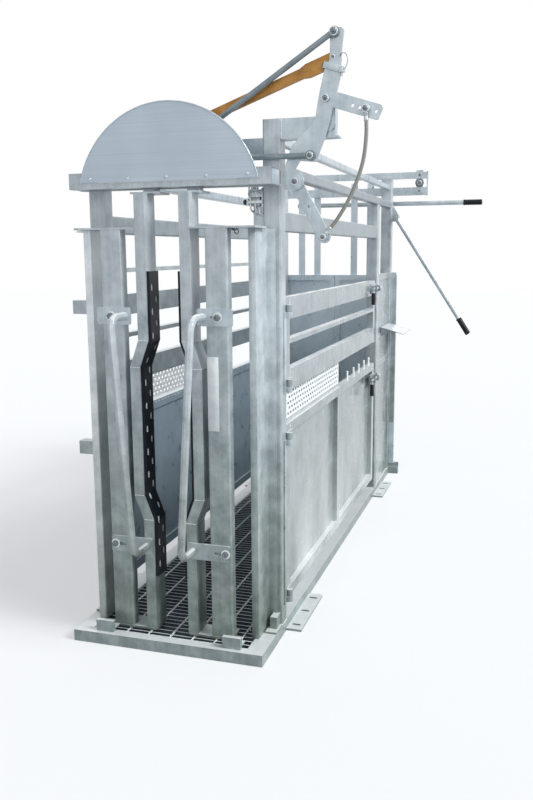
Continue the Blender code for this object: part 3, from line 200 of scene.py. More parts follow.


# Painted reflection: pale patches stand for the ground mirrored in the sheet below knee height.
def with_painted_reflection(tree, tone, spot, height, flare):
    """The tone with a painted reflection of the ground: pale upright patches below knee height."""
    wide = add(tree, "Mapping", {"Vector": spot, "Scale": (3, 3.4, 0.9)})
    sheen = add(tree, "TexNoise", {"Vector": wide.outputs[0], "Scale": 1.0, "Detail": 2.0})
    band = add(tree, "MapRange", {"Value": height, "From Min": FLARE_TOP, "From Max": FLARE_FOOT})
    patch = add(tree, "MapRange", {"Value": sheen.outputs[0], "From Min": 0.36, "From Max": 0.72,
                                   "To Max": flare})
    both = add(tree, "Math", {0: band.outputs[0], 1: patch.outputs[0]}, operation="MULTIPLY")
    flared = add(tree, "Mix", {"Factor": both.outputs[0], "A": tone, "B": colour(GROUND_REFLECTION_TONE)},
                 data_type="RGBA")
    return flared.outputs[2]


print("film", colour(TOP_LIGHT_TONE), "flare", colour(GROUND_REFLECTION_TONE))

# %% [markdown]
# ## The zinc finish
#
# Zinc freezes in crystals called spangle. On this thin coat they are about five millimetres
# across and faint, so a pattern of small cells makes each crystal a little lighter or darker. The
# coat is a metal that has dulled: partly metallic, and with a gloss that follows the clouds.
# Shallow dimples break up the mirror image, and a small Bevel node rounds the edges of the
# rolled tube, so that they catch light.

# %% Zinc finish
SPANGLE = 5 * MM
SPANGLE_CONTRAST = 0.035
DIMPLE = 26 * MM
EDGE_ROUND = 1.6 * MM


# film is the share of painted top light on upward faces, and flare the share of painted ground reflection.
def zinc(name, pale, dull, dirt_and_reflection_tint, metallic, rough=0.34, streaks=0.28, film=0.7, flare=0.0):
    """A galvanised finish: clouds, streaks and tint, then painted top light, painted reflections, spangle and
    dimples.
    """
    made, tree, shader = new_material(name)
    spots = add(tree, "TexCoord")
    spot = spots.outputs["Object"]
    clouds, height, tone = zinc_tones(tree, spot, pale, dull, dirt_and_reflection_tint, streaks)
    tone = with_painted_top_light(tree, tone, spots.outputs["Normal"], film)
    if flare:
        tone = with_painted_reflection(tree, tone, spot, height, flare)
    crystals = add(tree, "TexVoronoi", {"Vector": spot, "Scale": 1 / SPANGLE})
    grain = add(tree, "SeparateColor", {"Color": crystals.outputs["Color"]})
    sparkle = add(tree, "MapRange", {"Value": grain.outputs[0], "To Min": 1 - SPANGLE_CONTRAST,
                                     "To Max": 1 + SPANGLE_CONTRAST})
    final = add(tree, "VectorMath", {0: tone, "Scale": sparkle.outputs[0]}, operation="SCALE")
    gloss = add(tree, "MapRange", {"Value": clouds, "From Min": 0.3, "From Max": 0.7,
                                   "To Min": rough - 0.05, "To Max": rough + 0.07})
    rounded = add(tree, "Bevel", {"Radius": EDGE_ROUND}, samples=4)
    dimples = add(tree, "TexNoise", {"Vector": spot, "Scale": 1 / DIMPLE, "Detail": 2.0})
    bump = add(tree, "Bump", {"Height": dimples.outputs[0], "Strength": 0.12, "Distance": 0.5 * MM,
                              "Normal": rounded.outputs[0]})
    tree.links.new(final.outputs[0], shader.inputs["Base Color"])
    tree.links.new(gloss.outputs[0], shader.inputs["Roughness"])
    tree.links.new(bump.outputs[0], shader.inputs["Normal"])
    shader.inputs["Metallic"].default_value = metallic
    return made


print("spangle", SPANGLE, "m")

# %% [markdown]
# ## One finish for each kind of section
#
# Pieces of one frame leave the bath with different coats, so each kind of section gets its own
# tones. Thin flat bar cools fast and stays bright, while thick tube cools slowly and turns dull.
# Rolled sheet is smoother than tube and mirrors more. The grating's dark tones are painted shade, for the
# sides of its bars that see only each other, and its bright tops are painted top light. The panels inside see
# no sun, and their blue tones are painted shade. The left guide post and the grating rods are paler than
# their zinc, which is painted light on parts that stand in shade.

# %% Zinc finishes
post_zinc = zinc("hot_dip_galvanised_tube", "#bbc4c8", "#98a2a8", "#a6aea2", 0.28)
# Painted light: the left guide post stands in shadow, so its zinc is made paler to make up for it.
guide_post_painted_light = zinc("galvanised_tube_painted_light", "#eef2f4", "#d3dadd", "#b8beb4", 0.25)
side_rail_zinc = zinc("dulled_galvanised_rail", "#9aa4a9", "#7f898e", "#c4c9c4", 0.3, streaks=0.1)
base_zinc = zinc("galvanised_base_section", "#bcc4c8", "#8d989e", "#c6ccc8", 0.3, rough=0.36)
bright_zinc = zinc("bright_galvanised_flat_bar", "#bfc9cf", "#9ea9b0", "#b4bab2", 0.4, rough=0.3)
pull_zinc = zinc("galvanised_pull_handle", "#c3cbd0", "#a8b1b6", "#a6aa9c", 0.35, rough=0.3, streaks=0.0)
gate_zinc = zinc("galvanised_gate_sheet", "#a0aaad", "#868f92", "#c0c8c2", 0.3, rough=0.22, streaks=0.15,
                 flare=0.5)
# These blue tones are painted shade for the inside of the crush, made paler to make up for that shade.
shaded_sheet = zinc("panel_sheet_painted_shade", "#a4b5c1", "#97a8b5", "#d8dcde", 0.2, rough=0.3)
door_sheet = zinc("door_sheet_painted_shade", "#d6e1e8", "#c8d5dd", "#e2e6e8", 0.2, rough=0.3)
# The grating's dark tones are painted shade for the sides of its bars; its tops take painted top light.
grating_painted_shade = zinc("galvanised_grating_painted_shade", "#55616d", "#333d48", "#e6eaec", 0.3, rough=0.4, film=0.95)
# The rods' near-white tone is painted light: they stand in shade, and their zinc is made paler to make up for
# it.
rod_painted_light = zinc("twisted_rod_painted_light", "#f3f6f7", "#dfe5e8", "#f2f4f4", 0.4, rough=0.3)
print("zinc finishes:", len(bpy.data.materials))

# %% [markdown]
# ## The brushed sign sheet
#
# The sign is a sheet of lacquered aluminium that was brushed along X on a belt. Brushing leaves
# fine parallel lines, and these are what tell the eye that the sheet isn't painted. Real ones
# are finer than a pixel, so they are drawn four millimetres apart, which is as fine as shows.

# %% Brushed sign sheet
BRUSH_LINE = 4 * MM
SIGN_CLOUD = 260 * MM


def brushed_sign():
    """Brushed and lacquered aluminium, with its lines along X."""
    made, tree, shader = new_material("brushed_aluminium_sign")
    spot = add(tree, "TexCoord").outputs["Object"]
    drawn = add(tree, "Mapping", {"Vector": spot, "Scale": (1.2, 1 / BRUSH_LINE, 1 / BRUSH_LINE)})
    lines = add(tree, "TexNoise", {"Vector": drawn.outputs[0], "Scale": 1.0, "Detail": 4.0})
    clouds = add(tree, "TexNoise", {"Vector": spot, "Scale": 1 / SIGN_CLOUD, "Detail": 2.0})
    both = add(tree, "Math", {0: lines.outputs[0], 1: clouds.outputs[0]}, operation="MULTIPLY")
    share = add(tree, "MapRange", {"Value": both.outputs[0], "From Min": 0.10, "From Max": 0.42})
    tone = add(tree, "Mix", {"Factor": share.outputs[0], "A": colour("#aab6c2"), "B": colour("#bac5cf")},
               data_type="RGBA")
    bump = add(tree, "Bump", {"Height": lines.outputs[0], "Strength": 0.05, "Distance": 0.1 * MM})
    tree.links.new(tone.outputs[2], shader.inputs["Base Color"])
    tree.links.new(bump.outputs[0], shader.inputs["Normal"])
    shader.inputs["Metallic"].default_value = 0.35
    shader.inputs["Roughness"].default_value = 0.38
    return made


sign_sheet = brushed_sign()
print("sign sheet:", sign_sheet.name)

# %% [markdown]
# ## Small parts in two tones
#
# Rubber, plated bolts, round bars and plastic are small in the picture, so clouds of two tones
# with a fine bump are enough for each. The size of the clouds, the gloss and the share of metal
# are what set them apart. Moulded rubber and the sleeves of the grips are matt and nearly black.
# Nylon is a little greyer, and plain film is a smooth grey plastic. Round bar was drawn through a
# die and is smoother than rolled tube. The locking bar was plated and then passivated, which
# turns zinc a yellow ochre. Bolts and washers are electroplated, so they are glossier than the
# frame, and a weld bead holds a thick, pale coat.

# %% Finishes in two tones
def two_tone(name, dark, light, size, metallic, rough, bump_size, bump_depth=0.3 * MM):
    """A finish of two tones in clouds of one size, with a fine bump of another."""
    made, tree, shader = new_material(name)
    spot = add(tree, "TexCoord").outputs["Object"]
    clouds = add(tree, "TexNoise", {"Vector": spot, "Scale": 1 / size, "Detail": 4.0, "Roughness": 0.6})
    share = add(tree, "MapRange", {"Value": clouds.outputs[0], "From Min": 0.35, "From Max": 0.68})
    tone = add(tree, "Mix", {"Factor": share.outputs[0], "A": colour(dark), "B": colour(light)},
               data_type="RGBA")
    gloss = add(tree, "MapRange", {"Value": clouds.outputs[0], "To Min": rough - 0.12,
                                   "To Max": rough + 0.12})
    fine = add(tree, "TexNoise", {"Vector": spot, "Scale": 1 / bump_size, "Detail": 3.0})
    rounded = add(tree, "Bevel", {"Radius": 1.0 * MM}, samples=4)
    bump = add(tree, "Bump", {"Height": fine.outputs[0], "Strength": 0.5, "Distance": bump_depth,
                              "Normal": rounded.outputs[0]})
    tree.links.new(tone.outputs[2], shader.inputs["Base Color"])
    tree.links.new(gloss.outputs[0], shader.inputs["Roughness"])
    tree.links.new(bump.outputs[0], shader.inputs["Normal"])
    shader.inputs["Metallic"].default_value = metallic
    return made


moulded_rubber = two_tone("moulded_black_rubber", "#060a10", "#141c26", 24 * MM, 0.0, 0.34, 2 * MM)
grip_rubber = two_tone("grip_rubber", "#101114", "#23252a", 30 * MM, 0.0, 0.42, 1.5 * MM)
for rubber in (moulded_rubber, grip_rubber):
    rubber.node_tree.nodes["Principled BSDF"].inputs["Specular IOR Level"].default_value = 0.2
black_nylon = two_tone("black_nylon", "#1a1c1f", "#33363a", 15 * MM, 0.0, 0.45, 1 * MM, 0.1 * MM)
lever_zinc = two_tone("galvanised_round_bar", "#a9b3b9", "#c3cbd0", 70 * MM, 0.4, 0.34, 6 * MM, 0.1 * MM)
link_zinc = two_tone("dulled_round_bar", "#6d797f", "#8a959b", 70 * MM, 0.45, 0.34, 6 * MM, 0.1 * MM)
yellow_plate = two_tone("yellow_passivated_steel", "#9c6a2c", "#c48f48", 60 * MM, 0.25, 0.5, 3 * MM)
bolt_plate = two_tone("bright_zinc_plated_bolt", "#9aa2a7", "#cdd3d6", 10 * MM, 0.8, 0.34, 1 * MM, 0.1 * MM)
dark_bolt = two_tone("dulled_bolt_steel", "#565c61", "#868d92", 8 * MM, 0.8, 0.38, 1 * MM, 0.1 * MM)
washer_zinc = two_tone("bright_washer_zinc", "#d6dcdf", "#f0f3f4", 9 * MM, 0.3, 0.34, 1 * MM, 0.1 * MM)
weld_zinc = two_tone("zinc_over_weld_bead", "#c9cfd0", "#eef1f1", 9 * MM, 0.4, 0.4, 2 * MM)
blank_film = two_tone("blank_grey_film", "#d0d5d8", "#dfe3e4", 40 * MM, 0.1, 0.4, 6 * MM, 0.1 * MM)
print("finishes so far:", len(bpy.data.materials))

# %% [markdown]
# ## The cover of the pull cable
#
# A pull cable runs in an extruded grey plastic cover over a steel coil. The coil shows through
# as fine ribs round the cable. As the cable hangs nearly upright, a wave with bands along Z is
# enough for them.

# %% Ribbed cable cover
RIB = 1.4 * MM


def ribbed_cover():
    """Grey plastic over a coil, whose ribs show as bands along Z."""
    made, tree, shader = new_material("ribbed_cable_cover")
    spot = add(tree, "TexCoord").outputs["Object"]
    ribs = add(tree, "TexWave", {"Vector": spot, "Scale": 1 / (2 * math.pi * RIB)}, bands_direction="Z")
    # The tone follows the ribs, darker in the grooves and paler on the crests: painted shade and painted
    # light on the ribs.
    tone = add(tree, "Mix", {"Factor": ribs.outputs[1], "A": colour("#6f6e69"), "B": colour("#a3a29b")},
               data_type="RGBA")
    bump = add(tree, "Bump", {"Height": ribs.outputs[1], "Strength": 0.5, "Distance": 0.5 * MM})
    tree.links.new(tone.outputs[2], shader.inputs["Base Color"])
    tree.links.new(bump.outputs[0], shader.inputs["Normal"])
    shader.inputs["Metallic"].default_value = 0.25
    shader.inputs["Roughness"].default_value = 0.4
    return made


cable_cover = ribbed_cover()
print("cable cover:", cable_cover.name)

# %% [markdown]
# ## Finishes on the solid nodes
#
# A node whose shape is right keeps its mesh and only gets a better finish in its material slot.
# The table pairs each finish with the nodes that are made that way on the real crush. The many
# posts and rails that it doesn't name are plain tube.

# %% Give every node its finish
finishes = {
    # The left guide post takes a paler zinc, as painted light on a post in shadow.
    guide_post_painted_light: ["guide_post_left"],
    side_rail_zinc: ["upper_rail_right", "upper_rail_left", "top_rail_right", "left_wall_upper"],
    base_zinc: ["base_frame"],
    bright_zinc: ["top_rail_left", "tie_tube", "front_beam", "door_track", "lever_bracket", "mast_bracket",
                  "pull_strap_top_right", "pull_strap_low_right", "pull_strap_top_left",
                  "pull_strap_low_left", "rocker_plate", "trip_lever", "hinge_strap_upper",
                  "hinge_strap_lower", "latch_bolt_upper", "latch_bolt_lower"],
    pull_zinc: ["pull_bar_right", "pull_bar_left"],
    lever_zinc: ["rear_lever_one", "rear_lever_two"],
    link_zinc: ["upper_link", "lower_link"],
    gate_zinc: ["side_gate_upper", "side_gate_lower", "rear_bay_panel_right"],
    shaded_sheet: ["left_wall_lower", "rear_bay_panel_left"],
    door_sheet: ["rear_door_right", "rear_door_left"],
    grating_painted_shade: ["floor_grating"],
    sign_sheet: ["sign_plate"],
    yellow_plate: ["locking_bar"],
}
chosen = {node: finish for finish, nodes in finishes.items() for node in nodes}
for name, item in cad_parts.items():
    for slot in item.material_slots:
        slot.material = chosen.get(name, post_zinc)
print("named in the table:", len(chosen), "plain tube:", len(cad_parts) - len(chosen))

# %% [markdown]
# ## Shapes set in place, and plates
#
# Small fittings repeat all over a crush, so a shape is made once as a mesh and then set in many
# places. `place` copies a ready shape to a spot with its Z along a chosen direction. `slab` is a
# plate or block between two corners. It is a cube that is scaled first and bevelled after that,
# because a bevel made before the scaling would come out uneven.

# %% Helpers for placing and plates
def as_mesh(name, made):
    """Turn a bmesh into a mesh and free it."""
    mesh = bpy.data.meshes.new(name)
    made.to_mesh(mesh)
    made.free()
    return mesh


def place(target, shape, spot, axis, size=1.0, spin=0.0):
    """Set a copy of a ready shape on a spot, with its Z along the axis."""
    known = len(target.verts)
    target.from_mesh(shape)
    target.verts.ensure_lookup_table()
    turn = Vector(axis).to_track_quat("Z", "Y").to_matrix().to_4x4()
    matrix = Matrix.Translation(spot) @ turn @ Matrix.Rotation(spin, 4, "Z") @ Matrix.Scale(size, 4)
    bmesh.ops.transform(target, matrix=matrix, verts=target.verts[known:])


def slab(target, low, high, bevel=0.8 * MM):
    """A plate or block between two corners, with its edges eased."""
    block = bmesh.new()
    middle = (Vector(low) + Vector(high)) / 2
    sizes = Vector(high) - Vector(low)
    bmesh.ops.create_cube(block, size=1.0)
    bmesh.ops.scale(block, vec=sizes, verts=block.verts)
    eased = min(bevel, min(sizes) * 0.3)
    bmesh.ops.bevel(block, geom=block.edges, offset=eased, segments=2, profile=0.5, affect="EDGES",
                    material=-1)
    bmesh.ops.translate(block, vec=middle, verts=block.verts)
    mesh = as_mesh("slab", block)
    target.from_mesh(mesh)
    bpy.data.meshes.remove(mesh)


print("ready:", as_mesh.__name__, place.__name__, slab.__name__)

# %% [markdown]
# ## Bars and turned parts
#
# `tube` runs a round or square bar along a path with a curve, because a curve keeps its section
# true round a bend. `lathe` spins half a section into a turned part, such as a washer, a ferrule
# or a grip. Spinning leaves doubled points where the profile meets the axis, so they are merged,
# and the faces are then turned outwards.

# %% Helpers for bars and turned parts
def tube(target, points, radius, square=False, radii=None, twist=0.0, closed=False):
    """A bar along a path; a square one may be twisted, by so much for each point."""
    line = bpy.data.curves.new("tube", "CURVE")
    line.dimensions = "3D"
    line.bevel_depth = radius
    line.bevel_resolution = 0 if square else 3
    line.use_fill_caps = True
    spline = line.splines.new("POLY")
    spline.points.add(len(points) - 1)
    spline.use_cyclic_u = closed
    for index, (point, spot) in enumerate(zip(spline.points, points)):
        point.co = (*spot, 1)
        point.tilt = twist * index
        point.radius = radii[index] if radii else 1.0
    holder = bpy.data.objects.new("tube", line)
    mesh = bpy.data.meshes.new_from_object(holder)
    target.from_mesh(mesh)
    bpy.data.objects.remove(holder)
    bpy.data.meshes.remove(mesh)
    bpy.data.curves.remove(line)


def lathe(profile, sides=24):
    """A turned shape from a profile of radius and height; it closes where that meets the axis."""
    made = bmesh.new()
    last = None
    for radius, height in profile:
        vert = made.verts.new((radius, 0, height))
        if last:
            made.edges.new((last, vert))
        last = vert
    bmesh.ops.spin(made, geom=made.verts[:] + made.edges[:], cent=(0, 0, 0), axis=(0, 0, 1),
                   angle=math.radians(360), steps=sides, use_merge=True)
    bmesh.ops.remove_doubles(made, verts=made.verts, dist=0.01 * MM)
    bmesh.ops.recalc_face_normals(made, faces=made.faces)
    return as_mesh("turned", made)


print("ready:", tube.__name__, lathe.__name__)

# %% [markdown]
# ## From a shape to a piece
#
# A shape becomes part of the crush when it is an object that rides on one body, so that it moves when that
# body does. `piece` also smooths the shape, keeps its corners sharp, gives it one or two finishes, and hides
# the solid nodes it stands for. A weld bead is the piece that repeats most: it is a thin bar whose radius
# ripples, because the torch moves in small steps.

# %% Pieces and weld beads
BEAD_STEP = 4 * MM


def piece(name, made, finish, body, stands_for=(), sharp=35, second=None):
    """Finish a shape as an object that rides on a body, and hide the nodes it stands for.

    A piece with no body is attached to none.
    """
    bmesh.ops.recalc_face_normals(made, faces=made.faces)
    mesh = as_mesh(name, made)
    mesh.materials.append(finish)
    if second:
        mesh.materials.append(second)
    mesh.shade_smooth()
    mesh.set_sharp_from_angle(angle=math.radians(sharp))
    item = bpy.data.objects.new(name, mesh)
    bpy.context.collection.objects.link(item)
    if body:
        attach(item, body)
    if stands_for:
        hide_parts(*stands_for)
    print(name, len(mesh.polygons), "faces")
    return item


def weld(target, start, end, radius=1.6 * MM):
    """A weld bead between two points."""
    start, end = Vector(start), Vector(end)
    count = max(4, int((end - start).length / BEAD_STEP))
    points = [start.lerp(end, step / count) for step in range(count + 1)]
    radii = [1 + 0.35 * noise.noise(point * 260) + 0.12 * (index % 2) for index, point in enumerate(points)]
    tube(target, points, radius, radii=radii)


print("bead step", BEAD_STEP, "m")

# %% [markdown]
# ## Bolts
#
# A bolt head is a hexagon with its corners turned off, on a round washer. The shape starts from
# a six-sided cone of equal radii, and a bevel eases its top edges. A nut shows the end of the
# bolt in its middle. Both are made one metre across the flats, so that a place in the model
# only needs the real size, such as 24 mm for an M16. The washer takes the piece's second finish.

# %% Bolt head, nut and washer
FRONT = (0, -1, 0)
BACK = (0, 1, 0)


def hexagon_on_washer(stud):
    """A hexagon on its washer, one metre across the flats, with or without a bolt's end in it."""
    made = bmesh.new()
    bmesh.ops.create_cone(made, cap_ends=True, segments=6, radius1=0.577, radius2=0.577, depth=0.42,
                          matrix=Matrix.Translation((0, 0, 0.31)))
    top = [edge for edge in made.edges if min(v.co.z for v in edge.verts) > 0.5]
    bmesh.ops.bevel(made, geom=top, offset=0.05, segments=2, profile=0.5, affect="EDGES", material=-1)
    rim = bmesh.new()
    bmesh.ops.create_cone(rim, cap_ends=True, segments=24, radius1=0.78, radius2=0.76, depth=0.11,
                          matrix=Matrix.Translation((0, 0, 0.055)))
    for face in rim.faces:
        face.material_index = 1
    if stud:
        bmesh.ops.create_cone(rim, cap_ends=True, segments=12, radius1=0.31, radius2=0.26, depth=0.3,
                              matrix=Matrix.Translation((0, 0, 0.6)))
    made.from_mesh(as_mesh("washer", rim))
    return as_mesh("bolt", made)


def bolted(name, body, rows, facing=FRONT):
    """Bolts that ride together, in one piece: each row is a shape, a spot, a size and a turn."""
    made = bmesh.new()
    for shape, spot, size, spin in rows:
        place(made, shape, spot, facing, size, spin)
    return piece(name, made, dark_bolt, body, second=washer_zinc)


bolt_head = hexagon_on_washer(stud=False)
nut_end = hexagon_on_washer(stud=True)
print("bolt faces:", len(bolt_head.polygons), "nut faces:", len(nut_end.polygons))

# %% [markdown]
# ## The line of a neck bar
#
# The two upright bars that close on the animal's neck are cut and welded into a shallow bow. The
# rubber and the weld seams both follow that bow, so it is written once: the heights of the bends,
# and how much of the bow is reached at each. One function then gives the face at any height.

# %% Line of a neck bar
NECK_FACE = 74 * MM
NECK_BOW = 40 * MM
BAR_LINE = ((0.30, 0.0), (0.55, 0.0), (0.655, 1.0), (1.20, 1.0), (1.31, 0.0), (1.60, 0.0))
SEAMS = [z for z, share in BAR_LINE[-2:0:-1]]


def bar_face(z):
    """X of the inner face of a neck bar at a height, for the positive side."""
    for (z0, share0), (z1, share1) in zip(BAR_LINE, BAR_LINE[1:]):
        if z <= z1:
            return NECK_FACE + NECK_BOW * (share0 + (share1 - share0) * (z - z0) / (z1 - z0))
    return NECK_FACE


print("seams at", SEAMS)

# %% [markdown]
# ## The rubber strips on the neck bars
#
# Each neck bar is padded with a flat rubber moulding, 12 mm thick. It could be one box with a
# bend modifier, but the bar has sharp bends, so the strip starts as an edge line down the bar,
# is extruded to its width, and gets its thickness with solidify. The side that solidify grows to
# depends on how the faces point, so the script asks them first.

# %% Plain rubber strip
RUBBER_THICKNESS = 12 * MM
GLUE_LINE = 0.3 * MM


def flat_strip(side, low, high):
    """The strip without pockets: a line down the bar, made wide and then thick."""
    strip = bmesh.new()
    last = None
    for z in (high[2], *SEAMS, low[2]):
        vert = strip.verts.new((side * (bar_face(z) - GLUE_LINE), low[1], z))
        if last:
            strip.edges.new((last, vert))
        last = vert
    grown = bmesh.ops.extrude_edge_only(strip, edges=strip.edges)["geom"]
    far = [part for part in grown if isinstance(part, bmesh.types.BMVert)]
    bmesh.ops.translate(strip, vec=(0, high[1] - low[1], 0), verts=far)
    strip.normal_update()
    faces_bar = sum(face.normal.x for face in strip.faces) * side < 0
    bmesh.ops.solidify(strip, geom=strip.faces,
                       thickness=-RUBBER_THICKNESS if faces_bar else RUBBER_THICKNESS)
    bmesh.ops.recalc_face_normals(strip, faces=strip.faces)
    return strip


print("rubber", RUBBER_THICKNESS, "m thick")

# %% [markdown]
# ## Pockets that grip
#
# The moulding has two rows of oval pockets, set half a step apart, and they hold the animal's
# neck. Each stands square to the face, also on the slopes of the bow. An oval is a twelve-sided
# cone of equal radii whose two halves are pulled apart, and its copies are set down the strip.

# %% Pocket cutters
RUBBER_PITCH = 98 * MM
POCKET_LENGTH = 29 * MM
POCKET_WIDTH = 20 * MM
POCKET_DEPTH = 3.5 * MM
POCKET_ROW = 20 * MM
CUTTER_DEPTH = 40 * MM
shape = bmesh.new()
bmesh.ops.create_cone(shape, cap_ends=True, segments=12, radius1=POCKET_WIDTH / 2,
                      radius2=POCKET_WIDTH / 2, depth=CUTTER_DEPTH)
for vert in shape.verts:
    if abs(vert.co.y) > 0.1 * MM:
        vert.co.y += math.copysign((POCKET_LENGTH - POCKET_WIDTH) / 2, vert.co.y)
oval = as_mesh("oval", shape)


def pocket_cutters(side, low, high):
    """Two rows of ovals, each square to the face of the bar where it stands."""
    cutters = bmesh.new()
    middle = (low[1] + high[1]) / 2
    for column, shift in ((-1, 0.0), (1, RUBBER_PITCH / 2)):
        z = low[2] + 0.05 + shift
        while z < high[2] - 0.03:
            slope = (bar_face(z + 2 * MM) - bar_face(z - 2 * MM)) / (4 * MM)
            facing = Vector((side, 0, -slope)).normalized()
            surface = Vector((side * (bar_face(z) - GLUE_LINE), middle + column * POCKET_ROW, z))
            inset = RUBBER_THICKNESS - POCKET_DEPTH + CUTTER_DEPTH / 2
            place(cutters, oval, surface - facing * inset, facing)
            z += RUBBER_PITCH
    bmesh.ops.recalc_face_normals(cutters, faces=cutters.faces)
    return cutters


print("pocket faces:", len(oval.polygons))

# %% [markdown]
# ## One cut for all pockets
#
# A boolean takes all ovals out of the strip at once, which is the plain way to make many equal
# holes. It works on objects, so the two shapes become objects for a moment, and the result is
# read back as the viewport sees it.

# %% Cutting with a boolean
def cut_away(solid, cutters):
    """What is left of a solid when the cutters are taken out of it."""
    holder = bpy.data.objects.new("strip", as_mesh("strip", solid))
    cutter = bpy.data.objects.new("cutter", as_mesh("cutter", cutters))
    for item in (holder, cutter):
        bpy.context.collection.objects.link(item)
    cut = holder.modifiers.new("pockets", "BOOLEAN")
    cut.operation = "DIFFERENCE"
    cut.solver = "EXACT"
    cut.object = cutter
    bpy.context.view_layer.update()
    ready = bmesh.new()
    ready.from_mesh(holder.evaluated_get(bpy.context.evaluated_depsgraph_get()).to_mesh())
    for item in (holder, cutter):
        bpy.data.objects.remove(item)
    ready.normal_update()
    return ready


print("ready:", cut_away.__name__)

# %% [markdown]
# ## The strips with their pockets
#
# The rubber is moulded over a zinc-coated core, which shows at the foot of each pocket, and the pale finish
# there is also a painted highlight for the glint on the pockets' rims.
# Those faces lie deeper than the front and don't look sideways, so a test of place and normal
# finds them, and they take the second finish.

# %% Rubber strips
for side, word in ((1, "right"), (-1, "left")):
    low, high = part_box("rubber_strip_" + word)
    ready = cut_away(flat_strip(side, low, high), pocket_cutters(side, low, high))
    for face in ready.faces:
        spot = face.calc_center_median()
        depth = abs(spot.x) - (bar_face(spot.z) - GLUE_LINE - RUBBER_THICKNESS)
        # The pale pocket floors are partly the zinc core and partly a painted highlight.
        if 0.4 * POCKET_DEPTH < depth < 2.2 * POCKET_DEPTH and abs(face.normal.y) < 0.3:
            face.material_index = 1
    piece("neck_rubber_" + word, ready, moulded_rubber, "leaf_" + word,
          ["rubber_strip_" + word], second=washer_zinc)

# %% [markdown]
# ## The rods across the grating
#
# Forge-welded grating has square rods pressed into the tops of its bearing bars, and each rod is
# twisted so that a hoof or boot grips it. A curve with a square section and a little more tilt
# at every point gives that twist without any vertex work. A flat band closes each end.

# %% Twisted grating rods
ROD_PITCH = 100 * MM
ROD_SIZE = 7 * MM
ROD_STEP = 10 * MM
low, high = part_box("grating_rods")
rods = bmesh.new()
count = int((high[1] - low[1]) / ROD_STEP)
for number in range(-3, 4):
    points = [(number * ROD_PITCH, low[1] + (high[1] - low[1]) * i / count, (low[2] + high[2]) / 2)
              for i in range(count + 1)]
    tube(rods, points, ROD_SIZE * 0.62, square=True, twist=math.radians(40))
for y0 in (low[1], high[1] - ROD_SIZE):
    slab(rods, (low[0], y0, low[2] - 2 * MM), (high[0], y0 + ROD_SIZE, high[2]))
piece("twisted_grating_rods", rods, rod_painted_light, "frame", ["grating_rods"], sharp=50)

# %% [markdown]
# ## The pierced guard strips
#
# Between the gates runs a strip of sheet that a press pierced with rows of short slots. A grid
# is the right start for it: the slots are cells of the grid, so deleting those cells leaves
# clean holes, and solidify then gives the sheet its thickness.

# %% Pierced guard strips
SLOT_COLUMNS = 25
SLOT_ROWS = 5
CELLS_A_SLOT = 6
OPEN_CELLS = 3
cells_y = SLOT_COLUMNS * CELLS_A_SLOT
cells_z = SLOT_ROWS * 2 + 1


def is_slot(face):
    """Whether a cell of the grid lies in a slot; every other row is shifted by half a step."""
    spot = face.calc_center_median()
    along = int((spot.y + 0.5) * cells_y)
    row = int((spot.z + 0.5) * cells_z)
    shift = CELLS_A_SLOT // 2 if row % 4 == 1 else 0
    return row % 2 == 1 and (along + shift) % CELLS_A_SLOT < OPEN_CELLS and 2 < along < cells_y - 3


for word, body in (("right", "gate_upper"), ("left", "frame")):
    low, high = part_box("guard_strip_" + word)
    sheet = bmesh.new()
    bmesh.ops.create_grid(sheet, x_segments=cells_y, y_segments=cells_z, size=0.5)
    for axis in "YX":
        bmesh.ops.rotate(sheet, cent=(0, 0, 0), matrix=Matrix.Rotation(math.radians(90), 3, axis),
                         verts=sheet.verts)
    bmesh.ops.delete(sheet, geom=[face for face in sheet.faces if is_slot(face)], context="FACES")
    bmesh.ops.scale(sheet, vec=(1, high[1] - low[1], high[2] - low[2]), verts=sheet.verts)
    bmesh.ops.translate(sheet, vec=[(a + b) / 2 for a, b in zip(low, high)], verts=sheet.verts)
    bmesh.ops.solidify(sheet, geom=sheet.faces, thickness=(high[0] - low[0]) * 0.6)
    piece("pierced_strip_" + word, sheet, washer_zinc, body, ["guard_strip_" + word])

# %% [markdown]
# ## Grips
#
# A grip is a moulded sleeve with a domed end and rings that stop the hand from slipping. A
# turned part is drawn as half of its section and spun, so the rings are only steps in a profile.

# %% Shape of a grip
def grip_profile(radius, length, rings, bore):
    """Radius and height of half a grip's section, from its open end to its dome."""
    points = [(bore, 0.0), (radius * 1.06, 0.0), (radius * 1.06, length * 0.05)]
    for ring in range(rings):
        z = length * (0.10 + 0.78 * ring / rings)
        points += [(radius * 0.93, z), (radius * 0.93, z + length * 0.02), (radius, z + length * 0.035),
                   (radius, z + length * 0.78 / rings - length * 0.01)]
    return points + [(radius * 0.98, length * 0.94), (radius * 0.8, length * 0.985), (radius * 0.4, length),
                     (0.0, length)]


def set_grip(name, node, start, heading, radius, length, body, rings=7):
    """A grip in place of its solid node, from its open end along a heading."""
    grip = bmesh.new()
    place(grip, lathe(grip_profile(radius, length, rings, radius * 0.7)), start, heading)
    piece(name, grip, grip_rubber, body, [node])


print("points in a grip's section:", len(grip_profile(1.0, 1.0, 7, 0.7)))

# %% [markdown]
# ## The four grips
#
# The slide bar, the hanging lever and the two latches each end in a grip. A grip takes the place
# of its solid node and rides with the same body. The lever slopes, so its grip is set back along
# the lever from its end, while the latches' grips hang straight down and are thinner.

